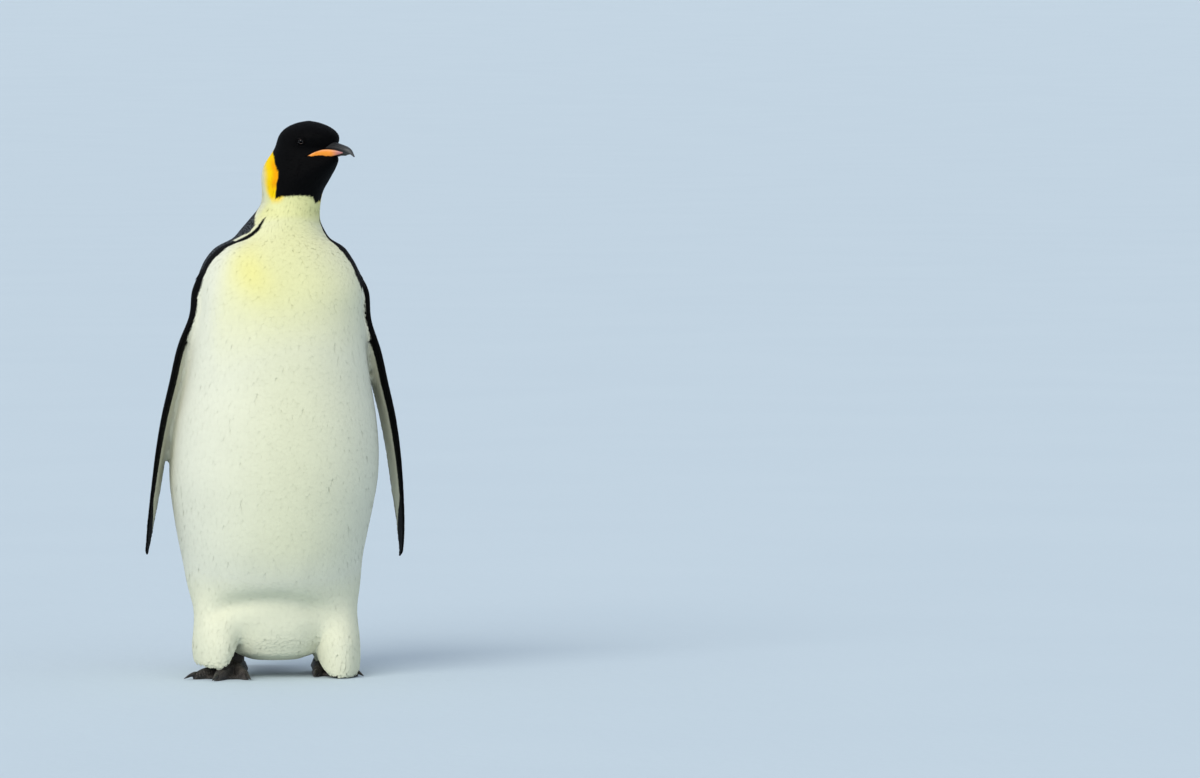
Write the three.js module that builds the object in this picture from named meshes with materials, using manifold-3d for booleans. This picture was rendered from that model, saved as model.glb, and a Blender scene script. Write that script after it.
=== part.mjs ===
// An adult emperor penguin standing at rest, life size, with its head turned to its left.
// Millimetres, +Z up. The bird faces -Y, so its own left side is +X.
// The origin is on the floor, at the middle of the whole bird's box.
import * as THREE from 'three';
import { mergeVertices } from 'three/addons/utils/BufferGeometryUtils.js';
import Module from 'manifold-3d';

const wasm = await Module();
wasm.setup();

// ---- driving dimensions ----------------------------------------------------------------------

const CROWN = 1018;              // top of the head above the floor
const BODY_SIDES = 34;           // facets round the body, neck and head
const GAP = 0.4;                 // clearance between one piece and its neighbour
const NECK_TOP = 902;            // where the head is parted from the neck
const NECK_BASE = 806;           // where the neck is parted from the trunk
const REACH = 2000;              // larger than the bird, for the cutting blocks
const SHARPEST = 0.4;            // limits how far the point of a sharp edge grows
const SAME_POINT = 1e-4;         // vertices closer than this are one

const HEAD_TURN = 42;            // degrees, the bill's direction from straight ahead
const HEAD_X = 62;               // the head's upright axis
const HEAD_Y = 0;

const EYE_RADIUS = 9.5;
const EYE_HEIGHT = 979.5;
const EYE_BEARING = 74;          // degrees round the head from the bill
const EYE_PROUD = 1.8;           // how far the eyeball stands out of the coat

const FLIPPER_SIDES = 12;
const FLIPPER_STEPS = 11;
const FLIPPER_TURN = {           // degrees, trailing edge in towards the body
  right: { tip: 18, root: 19 },
  left: { tip: 3, root: 14 },
};
const FLIPPER_OUT = {            // how far the flipper is held out at its tip and its root
  right: { tip: 4, root: 4 },
  left: { tip: -1, root: 9 },
};
const FLIPPER_DROP = { right: 0, left: 9 };     // the left flipper hangs a little lower
const SHOULDER = {               // how far the shoulder stands out, at what height, how widely
  right: { out: -7, height: 677, span: 36 },
  left: { out: 9, height: 726, span: 38 },
};

const LEG_X = { right: 115, left: 105 };
const LEG_SIDES = 16;
const FOOT_X = { right: 79, left: 90 };
const FOOT_Y = { right: -22, left: 14 };        // the left foot stands a little further back
const FOOT_TURN = { right: 25, left: 6 };       // degrees, toes outward
const TOE_SPREAD = { right: 1.2, left: 0.75 };  // how widely the toes of each foot are spread
const TOES = {
  inner: { splay: -30, length: 54, radius: 12 },
  middle: { splay: 0, length: 78, radius: 13 },
  outer: { splay: 26, length: 66, radius: 12 },
};
const TOE_SPACING = 15;          // between the roots of neighbouring toes
const BALL = 36;                 // ankle to the roots of the toes
const HEEL = 42;                 // ankle back to the end of the heel pad
const CLAW_LENGTH = 25;
const CLAW_RADIUS = 5.8;

// Body, neck and head: height, then the upright axis (x, y), the yaw in degrees,
// reach forward, reach back, half-width, and how far the front narrows (0 round, 1 pointed).
const BODY = [
  [30, -4, -14, 0, 44, 40, 46, 0],
  [42, -4, -10, 0, 84, 74, 78, 0],
  [62, -4, -6, 0, 102, 106, 102, 0],
  [88, -4, -2, 0, 114, 124, 122, 0],
  [116, -2, 0, 0, 118, 132, 143, 0],
  [142, -2, 0, 0, 129, 136, 157, 0],
  [179, -5, 0, 0, 149, 140, 163, 0],
  [215, -7, 0, 0, 163, 141, 166, 0],
  [252, -7, 0, 0, 173, 145, 173, 0],
  [300, -6, 0, 0, 182, 149, 182, 0],
  [361, -4, 0, 0, 188, 154, 191, 0],
  [416, -2, 0, 0, 187, 157, 191, 0],
  [470, -1, 0, 0, 182, 158, 186, 0],
  [530, 1, 0, 0, 172, 158, 175, 0],
  [600, 2, 1, 0, 160, 155, 164, 0],
  [660, 4, 3, 0, 147, 148, 157, 0],
  [708, 8, 5, 0, 134, 139, 155, 0],
  [745, 9, 8, 0, 120, 130, 145, 0],
  [768, 9, 10, 0, 109, 120, 132, 0],
  [785, 11, 12, 0, 98, 110, 117, 0],
  [800, 14, 14, 2, 88, 100, 90, 0],
  [816, 16, 15, 4, 78, 90, 77, 0],
  [834, 20, 15, 6, 70, 80, 65, 0],
  [863, 31, 14, 9, 64, 70, 53, 0],
  [888, 34.5, 12, 16, 63, 67, 53.5, 0],
  [912, 41, 8, 28, 70, 74, 57, 0.05],
  [931, 48, 5, 36, 76, 78, 56, 0.15],
  [947, 55, 2, 40, 78, 75, 53, 0.42],
  [956, 58, 0, 42, 70, 70, 52, 0.58],
  [966, 61, 0, 42, 62, 66, 51, 0.58],
  [977, HEAD_X, HEAD_Y, 42, 64, 62, 50.5, 0.3],
  [988, HEAD_X, HEAD_Y, 42, 62, 57.5, 48.5, 0.06],
  [1000, 63, HEAD_Y, 42, 51, 50, 41.5, 0],
  [1009, 63, HEAD_Y, 42, 36, 37, 30, 0],
  [1015, 63, HEAD_Y, 42, 19, 20, 16, 0],
  [CROWN, 63, HEAD_Y, 42, 3, 3, 2.5, 0],
];

// Flipper: height, leading edge out from the middle of the bird, leading edge forward (-) or
// back (+), chord, thickness. The root is sunk in the shoulder.
const FLIPPER = [
  [221, 234, 12, 6, 2],
  [228, 237, 2, 20, 2.6],
  [246, 238, -10, 38, 3.6],
  [286, 237.5, -24, 60, 5.5],
  [343, 234, -37, 83, 8.5],
  [416, 227, -46, 93, 12],
  [480, 217, -49, 97, 14.5],
  [540, 203, -48, 96, 16],
  [600, 189, -44, 91, 17],
  [650, 173, -38, 85, 21],
  [700, 165, -28, 77, 30],
  [738, 144, -12, 60, 28],
];

// Leg under its feathers: height, distance from the middle of the bird, fore-and-aft middle,
// half-depth, half-width. The top is sunk in the flank.
const LEG = [
  [2, 0, -38, 56, 43],
  [30, 0, -38, 60, 45.5],
  [70, -1, -36, 64, 45.5],
  [110, -3, -30, 64, 46],
  [150, -8, -22, 54, 42],
  [185, -14, -14, 38, 31],
  [205, -18, -10, 22, 17],
];

// Tail: distance from root to tip, then height, position back, half-width, half-thickness.
const TAIL = [
  [0, 178, 92, 44, 36],
  [0.25, 138, 120, 54, 30],
  [0.5, 100, 149, 53, 20],
  [0.75, 65, 178, 44, 9.5],
  [0.92, 43, 199, 30, 4],
  [1, 32, 211, 15, 1.8],
];

// Bill, from the gape forward: distance from the head's axis, height of the mouth line,
// height of the upper half above it, depth of the lower half below it, half-width.
const BILL = [
  [46, 963.5, 16.5, 13, 17.5],
  [54, 966, 14, 14.5, 14.5],
  [70, 966, 11, 12.5, 11],
  [84, 963, 10.3, 9, 8.4],
  [95, 960, 9.6, 6, 6.4],
  [102, 957, 7.6, 3.6, 4.5],
  [109, 951.8, 1.8, 1, 1.6],
];
const LOWER_BILL_END = 101;

// Coloured plate along the lower bill: distance from the head's axis, out from the bill's
// middle, top edge, bottom edge.
const PLATE = [
  [21, 43.6, 949, 946.6],
  [30, 39, 954, 948.4],
  [38, 33.8, 959.4, 949.8],
  [46, 27.2, 963.4, 950.6],
  [54, 21.7, 965.6, 951.4],
  [67, 14.5, 965.2, 953.2],
  [80, 10.1, 962.8, 956.4],
  [88, 8.2, 960.6, 958.8],
];
const PLATE_DEPTH = 4.2;
const PLATE_STEPS = 8;
const PLATE_SIDES = 6;

// ---- making and cutting solids ---------------------------------------------------------------

const radians = THREE.MathUtils.degToRad;

// Returns a smooth function through rows of numbers, each led by its own position.
function smooth(rows) {
  const places = Float32Array.from(rows, (row) => row[0]);
  const values = Float32Array.from(rows.flatMap((row) => row.slice(1)));
  const curve = new THREE.CubicInterpolant(places, values, rows[0].length - 1);
  return (place) => Array.from(curve.evaluate(place));
}

// A list of evenly spaced numbers, both ends included.
function spaced(from, to, steps) {
  return Array.from({ length: steps + 1 }, (_, i) => from + ((to - from) * i) / steps);
}

// A closed ring of points, one for each of evenly spaced angles.
function ring(sides, pointAt) {
  return Array.from({ length: sides }, (_, i) => pointAt((2 * Math.PI * i) / sides));
}

// Joins rings of points into one closed skin, each end drawn to the middle of its ring.
function loft(rings) {
  const sides = rings[0].length;
  const points = rings.flat();
  const faces = [];
  for (let row = 0; row + 1 < rings.length; row += 1) {
    for (let i = 0; i < sides; i += 1) {
      const a = row * sides + i;
      const b = row * sides + ((i + 1) % sides);
      faces.push(a, b, b + sides, a, b + sides, a + sides);
    }
  }
  for (const [row, flip] of [[0, true], [rings.length - 1, false]]) {
    const middle = new THREE.Vector3();
    rings[row].forEach((point) => middle.addScaledVector(point, 1 / sides));
    const hub = points.push(middle) - 1;
    for (let i = 0; i < sides; i += 1) {
      const a = row * sides + i;
      const b = row * sides + ((i + 1) % sides);
      faces.push(...(flip ? [hub, b, a] : [hub, a, b]));
    }
  }
  const geometry = new THREE.BufferGeometry();
  const numbers = points.flatMap((point) => point.toArray());
  geometry.setAttribute('position', new THREE.Float32BufferAttribute(numbers, 3));
  geometry.setIndex(faces);
  return geometry;
}

// Turns a closed geometry into a solid, inside-out lofts being turned the right way.
function solid(geometry) {
  const bare = geometry.clone();
  bare.deleteAttribute('normal');
  bare.deleteAttribute('uv');
  const merged = mergeVertices(bare, SAME_POINT);
  const position = merged.attributes.position;
  const index = Uint32Array.from(merged.index.array);
  const corner = (n) => new THREE.Vector3().fromBufferAttribute(position, index[n]);
  let volume = 0;
  for (let i = 0; i < index.length; i += 3) {
    volume += corner(i).dot(corner(i + 1).cross(corner(i + 2)));
  }
  if (volume < 0) {
    index.reverse();
  }
  return new wasm.Manifold(new wasm.Mesh({
    numProp: 3,
    vertProperties: Float32Array.from(position.array),
    triVerts: index,
  }));
}

// The geometry of a solid, with its vertices shared.
function surface(shape) {
  const mesh = shape.getMesh();
  const numbers = Float32Array.from(mesh.vertProperties);
  const geometry = new THREE.BufferGeometry();
  geometry.setAttribute('position', new THREE.BufferAttribute(numbers, 3));
  geometry.setIndex(new THREE.BufferAttribute(Uint32Array.from(mesh.triVerts), 1));
  return geometry;
}

// The same solid with every face moved out by the clearance. A vertex on a sharp edge moves
// further, so that the faces beside it are cleared as well.
function grown(shape) {
  const geometry = surface(shape);
  const position = geometry.attributes.position;
  const index = geometry.index.array;
  const faceNormals = Array.from({ length: position.count }, () => []);
  const corner = (n) => new THREE.Vector3().fromBufferAttribute(position, index[n]);
  for (let i = 0; i < index.length; i += 3) {
    const face = new THREE.Triangle(corner(i), corner(i + 1), corner(i + 2));
    const normal = face.getNormal(new THREE.Vector3());
    for (const n of [i, i + 1, i + 2]) {
      faceNormals[index[n]].push(normal);
    }
  }
  faceNormals.forEach((normals, i) => {
    const outward = new THREE.Vector3();
    normals.forEach((normal) => outward.add(normal));
    outward.normalize();
    const narrowest = Math.min(...normals.map((normal) => normal.dot(outward)));
    const moved = new THREE.Vector3().fromBufferAttribute(position, i);
    moved.addScaledVector(outward, GAP / Math.max(SHARPEST, narrowest));
    position.setXYZ(i, moved.x, moved.y, moved.z);
  });
  return solid(geometry);
}

// The largest single body in a solid, without the crumbs that a cut can leave.
function largest(shape) {
  const pieces = shape.decompose();
  return pieces.sort((a, b) => b.volume() - a.volume())[0];
}

// The slice of a solid between two heights.
function between(shape, low, high) {
  const block = new THREE.BoxGeometry(REACH, REACH, high - low);
  block.translate(0, 0, (high + low) / 2);
  return shape.intersect(solid(block));
}

const bird = new THREE.Group();

// Adds a solid to the bird as one named piece with its own finish.
function piece(name, shape, color, roughness) {
  const geometry = surface(largest(shape));
  const finish = new THREE.MeshStandardMaterial({ color, roughness, metalness: 0 });
  const mesh = new THREE.Mesh(geometry, finish);
  mesh.name = name;
  bird.add(mesh);
}

// ---- body, neck and head ---------------------------------------------------------------------

const bodyAt = smooth(BODY);
const BODY_LEVELS = [            // closer together where the outline turns faster
  ...spaced(30, 142, 6),
  ...spaced(170, 720, 15),
  ...spaced(737, 814, 5),
  ...spaced(833, 902, 4),
  ...spaced(914, 1000, 8),
  1007,
  1013,
  CROWN,
];
const SQUARENESS = 0.93;         // below 1 the section is fuller than an ellipse

// A point on the coat at one height, at a bearing in radians from straight ahead.
function coatPoint(height, bearing) {
  const [x, y, yaw, forward, back, half, narrowing] = bodyAt(height);
  const along = Math.cos(bearing);
  const across = Math.sin(bearing);
  const reach = (along > 0 ? forward : back) * Math.sign(along) * Math.abs(along) ** SQUARENESS;
  const taper = 1 - narrowing * Math.max(0, along);
  const side = half * taper * Math.sign(across) * Math.abs(across) ** SQUARENESS;
  const turn = radians(yaw);
  return new THREE.Vector3(
    x + reach * Math.sin(turn) + side * Math.cos(turn),
    y - reach * Math.cos(turn) + side * Math.sin(turn),
    height,
  );
}

const body = solid(loft(BODY_LEVELS.map((height) => (
  ring(BODY_SIDES, (bearing) => coatPoint(height, bearing))
))));

// ---- bill ------------------------------------------------------------------------------------

const headFrame = new THREE.Matrix4()
  .makeRotationZ(radians(HEAD_TURN))
  .setPosition(HEAD_X, HEAD_Y, 0);

// A point given forward from the head's axis, out to the bird's left, and up.
function headPoint(forward, left, height) {
  return new THREE.Vector3(left, -forward, height).applyMatrix4(headFrame);
}

const BILL_ARC = 7;
const BILL_STEPS = 9;
const BILL_FULLNESS = 0.8;       // below 1 the arch of the bill is fuller than an ellipse
const POINT_LENGTH = 16;         // over which the lower bill comes to its point
const POINT_SIZE = 0.2;          // share of its full section that the lower bill ends with
const billAt = smooth(BILL);

// One half of the bill: an arched section over (or under) a flat mouth line.
function billHalf(end, upper) {
  const rings = spaced(BILL[0][0], end, BILL_STEPS).map((forward) => {
    const [mouth, above, below, width] = billAt(forward);
    const point = upper ? 1 : Math.min(1, (end - forward) / POINT_LENGTH + POINT_SIZE);
    const half = width * point;
    const rise = upper ? above : -below * point;
    const lip = upper ? GAP / 2 : -GAP / 2;
    return spaced(0, Math.PI, BILL_ARC).map((turn) => {
      const lift = Math.abs(Math.sin(turn)) ** BILL_FULLNESS;
      return headPoint(forward, half * Math.cos(turn), mouth + lip + rise * lift);
    });
  });
  return solid(loft(rings));
}

// The plate is a long thin leaf let into the side of the lower bill.
function billPlate(side) {
  const plateAt = smooth(PLATE);
  const rings = spaced(PLATE[0][0], PLATE.at(-1)[0], PLATE_STEPS).map((forward) => {
    const [out, top, bottom] = plateAt(forward);
    return ring(PLATE_SIDES, (turn) => {
      const depth = out - PLATE_DEPTH / 2 + (PLATE_DEPTH / 2) * Math.cos(turn);
      const height = (top + bottom) / 2 + ((top - bottom) / 2) * Math.sin(turn);
      return headPoint(forward, side * depth, height);
    });
  });
  return solid(loft(rings));
}

const billUpper = billHalf(BILL.at(-1)[0], true);
const plates = { right: billPlate(-1), left: billPlate(1) };
const billLower = billHalf(LOWER_BILL_END, false);

// ---- eyes ------------------------------------------------------------------------------------

// The ball lies along the coat's outward direction, found from small steps round and up.
function eyeball(side) {
  const step = 0.05;
  const bearing = radians(side * EYE_BEARING);
  const spot = coatPoint(EYE_HEIGHT, bearing);
  const round = coatPoint(EYE_HEIGHT, bearing + step).sub(coatPoint(EYE_HEIGHT, bearing - step));
  const rise = coatPoint(EYE_HEIGHT + 1, bearing).sub(coatPoint(EYE_HEIGHT - 1, bearing));
  const outward = round.cross(rise).normalize();
  const ball = new THREE.SphereGeometry(EYE_RADIUS, 10, 6);
  const centre = spot.addScaledVector(outward, EYE_PROUD - EYE_RADIUS);
  ball.translate(centre.x, centre.y, centre.z);
  return solid(ball);
}

const eyes = { right: eyeball(-1), left: eyeball(1) };

// ---- feet and claws --------------------------------------------------------------------------

const SOLE_SIDES = 8;
const SOLE_LEVEL = 0.4;          // share of a toe's height at which its section is widest

// A rounded bar laid on the floor with a flat sole, through sections of its path.
function flatSoled(path) {
  const rings = path.map(({ at, along, radius, height }) => {
    const across = new THREE.Vector3(-along.y, along.x, 0).normalize();
    return ring(SOLE_SIDES, (turn) => {
      const point = at.clone().addScaledVector(across, radius * Math.cos(turn));
      point.z = Math.max(0, height * (SOLE_LEVEL + (1 - SOLE_LEVEL) * Math.sin(turn)));
      return point;
    });
  });
  return solid(loft(rings));
}

// Everything about one foot: where it stands, and each toe's root, direction and tip.
function footPlan(side, name) {
  const turn = radians(FOOT_TURN[name]);
  const ankle = new THREE.Vector3(side * FOOT_X[name], FOOT_Y[name], 0);
  const ahead = new THREE.Vector3(side * Math.sin(turn), -Math.cos(turn), 0);
  const outward = new THREE.Vector3(side * Math.cos(turn), Math.sin(turn), 0);
  const ball = ankle.clone().addScaledVector(ahead, BALL);
  const toes = {};
  Object.entries(TOES).forEach(([toe, { splay, length, radius }], place) => {
    const heading = turn + radians(splay * TOE_SPREAD[name]);
    const along = new THREE.Vector3(side * Math.sin(heading), -Math.cos(heading), 0);
    const root = ball.clone().addScaledVector(outward, (place - 1) * TOE_SPACING);
    const tip = root.clone().addScaledVector(along, length);
    toes[toe] = { root, along, tip, length, radius };
  });
  return { ankle, ahead, toes };
}

// Toe sections: share of the toe's length, width and height as shares of its radius.
const TOE_SECTIONS = [
  [-0.18, 1.1, 2.38],
  [0.1, 1.13, 2.31],
  [0.4, 1, 1.9],
  [0.72, 0.88, 1.54],
  [1, 0.48, 1],
];

// A toe narrows and flattens from its root and ends in a blunt pad.
function toeBar({ root, along, length, radius }) {
  return flatSoled(TOE_SECTIONS.map(([share, width, height]) => ({
    at: root.clone().addScaledVector(along, share * length),
    along,
    radius: radius * width,
    height: radius * height,
  })));
}

const WEB_REACH = 0.72;          // share of the toes' length that the web joins
const WEB_LIFT = 1;              // the web's underside above the floor
const WEB_TOP = { root: 11, edge: 5.2 };        // the web's upper side, thick to thin
const WEB_BAY = 5;               // how far its free edge curves back

// The web: a thin flat sheet from the ball of the foot out between two toes.
function web(near, far) {
  const rows = spaced(0, WEB_REACH, 2).map((share) => {
    const a = near.root.clone().addScaledVector(near.along, share * near.length);
    const b = far.root.clone().addScaledVector(far.along, share * far.length);
    const middle = a.clone().lerp(b, 0.5).addScaledVector(near.along, -WEB_BAY * share);
    const top = THREE.MathUtils.lerp(WEB_TOP.root, WEB_TOP.edge, share / WEB_REACH);
    const below = [a, middle, b].map((point) => point.clone().setZ(WEB_LIFT));
    const above = [b, middle, a].map((point) => point.clone().setZ(top));
    return [...below, ...above];
  });
  return solid(loft(rows));
}

// Heel and instep: distance ahead of the ankle, half-width, height.
const INSTEP = [
  [-HEEL, 11, 16],
  [-HEEL / 2, 19, 31],
  [0, 22, 36],
  [BALL * 0.7, 25, 32],
  [BALL + 12, 19, 17],
];

// Shank: height, distance ahead of the ankle, radius. It leans back up into the leg.
const SHANK = [
  [8, 10.2, 20.5],
  [42, 2.8, 18.5],
  [76, -4.7, 16.4],
];

function heelAndShank({ ankle, ahead }) {
  const heel = flatSoled(INSTEP.map(([forward, radius, height]) => ({
    at: ankle.clone().addScaledVector(ahead, forward),
    along: ahead,
    radius,
    height,
  })));
  const upright = loft(SHANK.map(([height, forward, radius]) => {
    const centre = ankle.clone().addScaledVector(ahead, forward).setZ(height);
    return ring(SOLE_SIDES, (turn) => (
      new THREE.Vector3(radius * Math.cos(turn), radius * Math.sin(turn), 0).add(centre)
    ));
  }));
  return [heel, solid(upright)];
}

// The separate solids that one foot is joined from.
function footParts(plan) {
  const { inner, middle, outer } = plan.toes;
  return [
    ...heelAndShank(plan),
    toeBar(inner),
    toeBar(middle),
    toeBar(outer),
    web(inner, middle),
    web(middle, outer),
  ];
}

const joined = (solids) => solids.reduce((all, next) => all.add(next));

const CLAW_SIDES = 6;
const CLAW_ROOT = 8;             // how far the claw is sunk in its toe
const CLAW_TIP = 0.5;            // radius at the point
const CLAW_LIFT = 2.2;           // the claw's underside above the floor
const CLAW_ARCH = 4.5;
const CLAW_WIDTH = 0.85;         // width as a share of depth

// A claw is a stout cone that arches forward and down towards the floor.
function claw({ tip, along }) {
  const across = new THREE.Vector3(-along.y, along.x, 0);
  const rings = spaced(0, 1, 4).map((share) => {
    const radius = CLAW_RADIUS * (1 - share) ** 0.75 + CLAW_TIP;
    const arch = CLAW_ARCH * Math.sin(share * Math.PI) * (1 - share);
    const height = CLAW_LIFT + radius + arch;
    const forward = share * (CLAW_LENGTH + CLAW_ROOT) - CLAW_ROOT;
    const middle = tip.clone().addScaledVector(along, forward);
    return ring(CLAW_SIDES, (turn) => {
      const point = middle.clone().addScaledVector(across, radius * CLAW_WIDTH * Math.cos(turn));
      point.z = height + radius * Math.sin(turn);
      return point;
    });
  });
  return solid(loft(rings));
}

const plans = { right: footPlan(-1, 'right'), left: footPlan(1, 'left') };
const parts = { right: footParts(plans.right), left: footParts(plans.left) };
const feet = { right: joined(parts.right), left: joined(parts.left) };
const roomForFoot = {
  right: joined(parts.right.map((part) => grown(part))),
  left: joined(parts.left.map((part) => grown(part))),
};

// ---- legs ------------------------------------------------------------------------------------

const LEG_BACK = 0.9;            // half-depth behind as a share of the half-depth in front

// Lower edge of the leg feathers: how it rises at the sides, how sharply, and how far the
// feathers hang forward over the foot.
const HEM = {
  right: { low: 22, inside: 68, outside: 4, apron: 22, power: 1.7 },
  left: { low: 3, inside: 44, outside: 0, apron: 34, power: 4 },
};

function leg(side, name) {
  const legAt = smooth(LEG);
  const { low, inside, outside, apron, power } = HEM[name];
  const top = LEG.at(-1)[0];
  const bottom = LEG[0][0];
  const rings = [...spaced(bottom, 42, 2), ...spaced(66, top, 5)].map((height) => {
    const [shift, middle, depth, half] = legAt(height);
    return ring(LEG_SIDES, (turn) => {
      const outward = Math.cos(turn);
      const hem = low + (outward < 0 ? inside : outside) * Math.abs(outward) ** power;
      const x = side * (LEG_X[name] + shift + half * outward);
      const reach = Math.sin(turn) < 0 ? depth + apron * (1 - height / top) : depth * LEG_BACK;
      const y = middle + reach * Math.sin(turn);
      const z = THREE.MathUtils.mapLinear(height, bottom, top, hem, top);
      return new THREE.Vector3(x, y, z);
    });
  });
  return solid(loft(rings));
}

const legs = { right: leg(-1, 'right'), left: leg(1, 'left') };

// ---- tail ------------------------------------------------------------------------------------

const TAIL_LEAN = radians(42);   // the tail's face leans back from upright by this much
const TAIL_ARCH = 0.004;         // how fast its sides curve down
const TAIL_SIDES = 12;
const TAIL_X = -4;               // in line with the rump
const TAIL_STEPS = 7;

function tailWedge() {
  const tailAt = smooth(TAIL);
  const rings = spaced(0, 1, TAIL_STEPS).map((share) => {
    const [height, back, half, thick] = tailAt(share);
    return ring(TAIL_SIDES, (turn) => {
      const across = half * Math.cos(turn);
      const lift = thick * Math.sin(turn) - TAIL_ARCH * across ** 2;
      return new THREE.Vector3(
        TAIL_X + across,
        back + lift * Math.sin(TAIL_LEAN),
        height + lift * Math.cos(TAIL_LEAN),
      );
    });
  });
  return solid(loft(rings));
}

// ---- flippers --------------------------------------------------------------------------------

const EDGE_FRONT = 1.25;         // the section is blunt at the leading edge
const EDGE_BACK = 0.4;           // and thin at the trailing edge

function flipper(side, name) {
  const flipperAt = smooth(FLIPPER);
  const levels = [
    FLIPPER[0][0],
    ...spaced(225, 260, 3),
    ...spaced(290, FLIPPER.at(-1)[0], FLIPPER_STEPS),
  ];
  const rings = levels.map((height) => {
    const [out, leading, chord, thick] = flipperAt(height);
    const raised = (height - levels[0]) / (levels.at(-1) - levels[0]);
    const shoulder = SHOULDER[name];
    const shrug = shoulder.out * Math.exp(-(((height - shoulder.height) / shoulder.span) ** 2));
    const sway = THREE.MathUtils.lerp(FLIPPER_OUT[name].tip, FLIPPER_OUT[name].root, raised);
    const held = out + sway + shrug;
    const { tip, root } = FLIPPER_TURN[name];
    const turnIn = radians(THREE.MathUtils.lerp(tip, root, raised));
    return ring(FLIPPER_SIDES, (turn) => {
      const share = (1 - Math.cos(turn)) / 2;
      const off = (thick / 2) * Math.sin(turn) * (EDGE_FRONT - (EDGE_FRONT - EDGE_BACK) * share);
      const back = share * chord;
      const x = held - back * Math.sin(turnIn) + off * Math.cos(turnIn) - thick / 2;
      const y = leading + back * Math.cos(turnIn) + off * Math.sin(turnIn);
      return new THREE.Vector3(side * x, y, height - FLIPPER_DROP[name] * (1 - raised));
    });
  });
  return solid(loft(rings));
}

// ---- the bird, piece by piece ----------------------------------------------------------------

const BLACK = 0x17181a;
const SLATE = 0x4a4f55;
const CREAM = 0xdfe2cf;
const ORANGE = 0xe59243;
const DARK_BROWN = 0x1a0f0a;

const trunk = between(body, 0, NECK_BASE)
  .subtract(grown(legs.right))
  .subtract(grown(legs.left))
  .subtract(roomForFoot.right)
  .subtract(roomForFoot.left);
piece('trunk', trunk, CREAM, 0.85);
piece('neck', between(body, NECK_BASE + GAP, NECK_TOP), CREAM, 0.85);

const head = between(body, NECK_TOP + GAP, REACH)
  .subtract(grown(billUpper))
  .subtract(grown(billLower))
  .subtract(grown(plates.right))
  .subtract(grown(plates.left))
  .subtract(grown(eyes.right))
  .subtract(grown(eyes.left));
piece('head', head, BLACK, 0.7);

piece('bill_upper', billUpper.subtract(grown(plates.right)).subtract(grown(plates.left)), BLACK, 0.35);
piece('bill_lower', billLower.subtract(grown(plates.right)).subtract(grown(plates.left)), BLACK, 0.35);
piece('tail', tailWedge().subtract(grown(body)), BLACK, 0.7);

for (const [name, side] of [['right', -1], ['left', 1]]) {
  piece(`bill_plate_${name}`, plates[name], ORANGE, 0.35);
  piece(`eye_${name}`, eyes[name], DARK_BROWN, 0.1);
  piece(`flipper_${name}`, flipper(side, name).subtract(grown(body)), SLATE, 0.7);
  piece(`foot_${name}`, feet[name], BLACK, 0.6);
  let feathers = legs[name].subtract(roomForFoot[name]);
  for (const [toe, plan] of Object.entries(plans[name].toes)) {
    const nail = claw(plan);
    feathers = feathers.subtract(grown(nail));
    piece(`claw_${name}_${toe}`, nail.subtract(roomForFoot[name]), BLACK, 0.4);
  }
  piece(`leg_${name}`, feathers, CREAM, 0.85);
}

// The origin goes to the middle of the whole bird's footprint.
const box = new THREE.Box3().setFromObject(bird);
bird.position.set(-(box.min.x + box.max.x) / 2, -(box.min.y + box.max.y) / 2, -box.min.z);

export default bird;
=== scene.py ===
import math

import bmesh
import bpy
import numpy as np
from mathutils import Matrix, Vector
from mathutils.bvhtree import BVHTree
from mathutils.kdtree import KDTree


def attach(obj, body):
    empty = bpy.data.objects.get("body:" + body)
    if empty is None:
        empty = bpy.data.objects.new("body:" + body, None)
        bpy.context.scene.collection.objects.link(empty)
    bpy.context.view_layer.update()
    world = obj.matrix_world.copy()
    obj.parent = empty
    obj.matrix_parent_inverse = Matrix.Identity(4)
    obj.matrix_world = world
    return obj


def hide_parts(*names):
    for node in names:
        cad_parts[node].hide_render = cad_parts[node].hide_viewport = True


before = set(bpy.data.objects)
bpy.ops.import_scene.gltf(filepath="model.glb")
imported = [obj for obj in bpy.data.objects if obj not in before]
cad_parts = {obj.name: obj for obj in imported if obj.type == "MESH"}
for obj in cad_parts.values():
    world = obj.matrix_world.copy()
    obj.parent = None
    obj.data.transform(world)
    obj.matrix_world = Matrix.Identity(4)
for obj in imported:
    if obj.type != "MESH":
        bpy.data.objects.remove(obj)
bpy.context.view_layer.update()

# ---- the studio ------------------------------------------------------------------------------
# A wide pale floor like packed snow, a large soft key light high on the left in front of the
# bird, and an even pale sky all round. The camera stands 14 m off, a little above the floor.

MM = 0.001
CENTRE = np.array((1.919, -12.043, 0.0))      # the bird's own upright axis in the frame, in mm
VIEW_SIDE = math.radians(-8)
VIEW_RISE = math.radians(5)
VIEW_DISTANCE = 14.0
LENS = 227.9
SENSOR = 36.0
PICTURE = (1200, 778)
AXIS_IN_PICTURE = (276, 674)                  # where the foot of that axis falls, from top left
SNOW, LIT_SNOW = (0.515, 0.605, 0.665, 1), (0.545, 0.635, 0.69, 1)
SKY, SKY_STRENGTH = (0.80, 0.88, 1.0, 1), 0.76
KEY_FROM = (-0.56, -0.70, 0.66)


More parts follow.
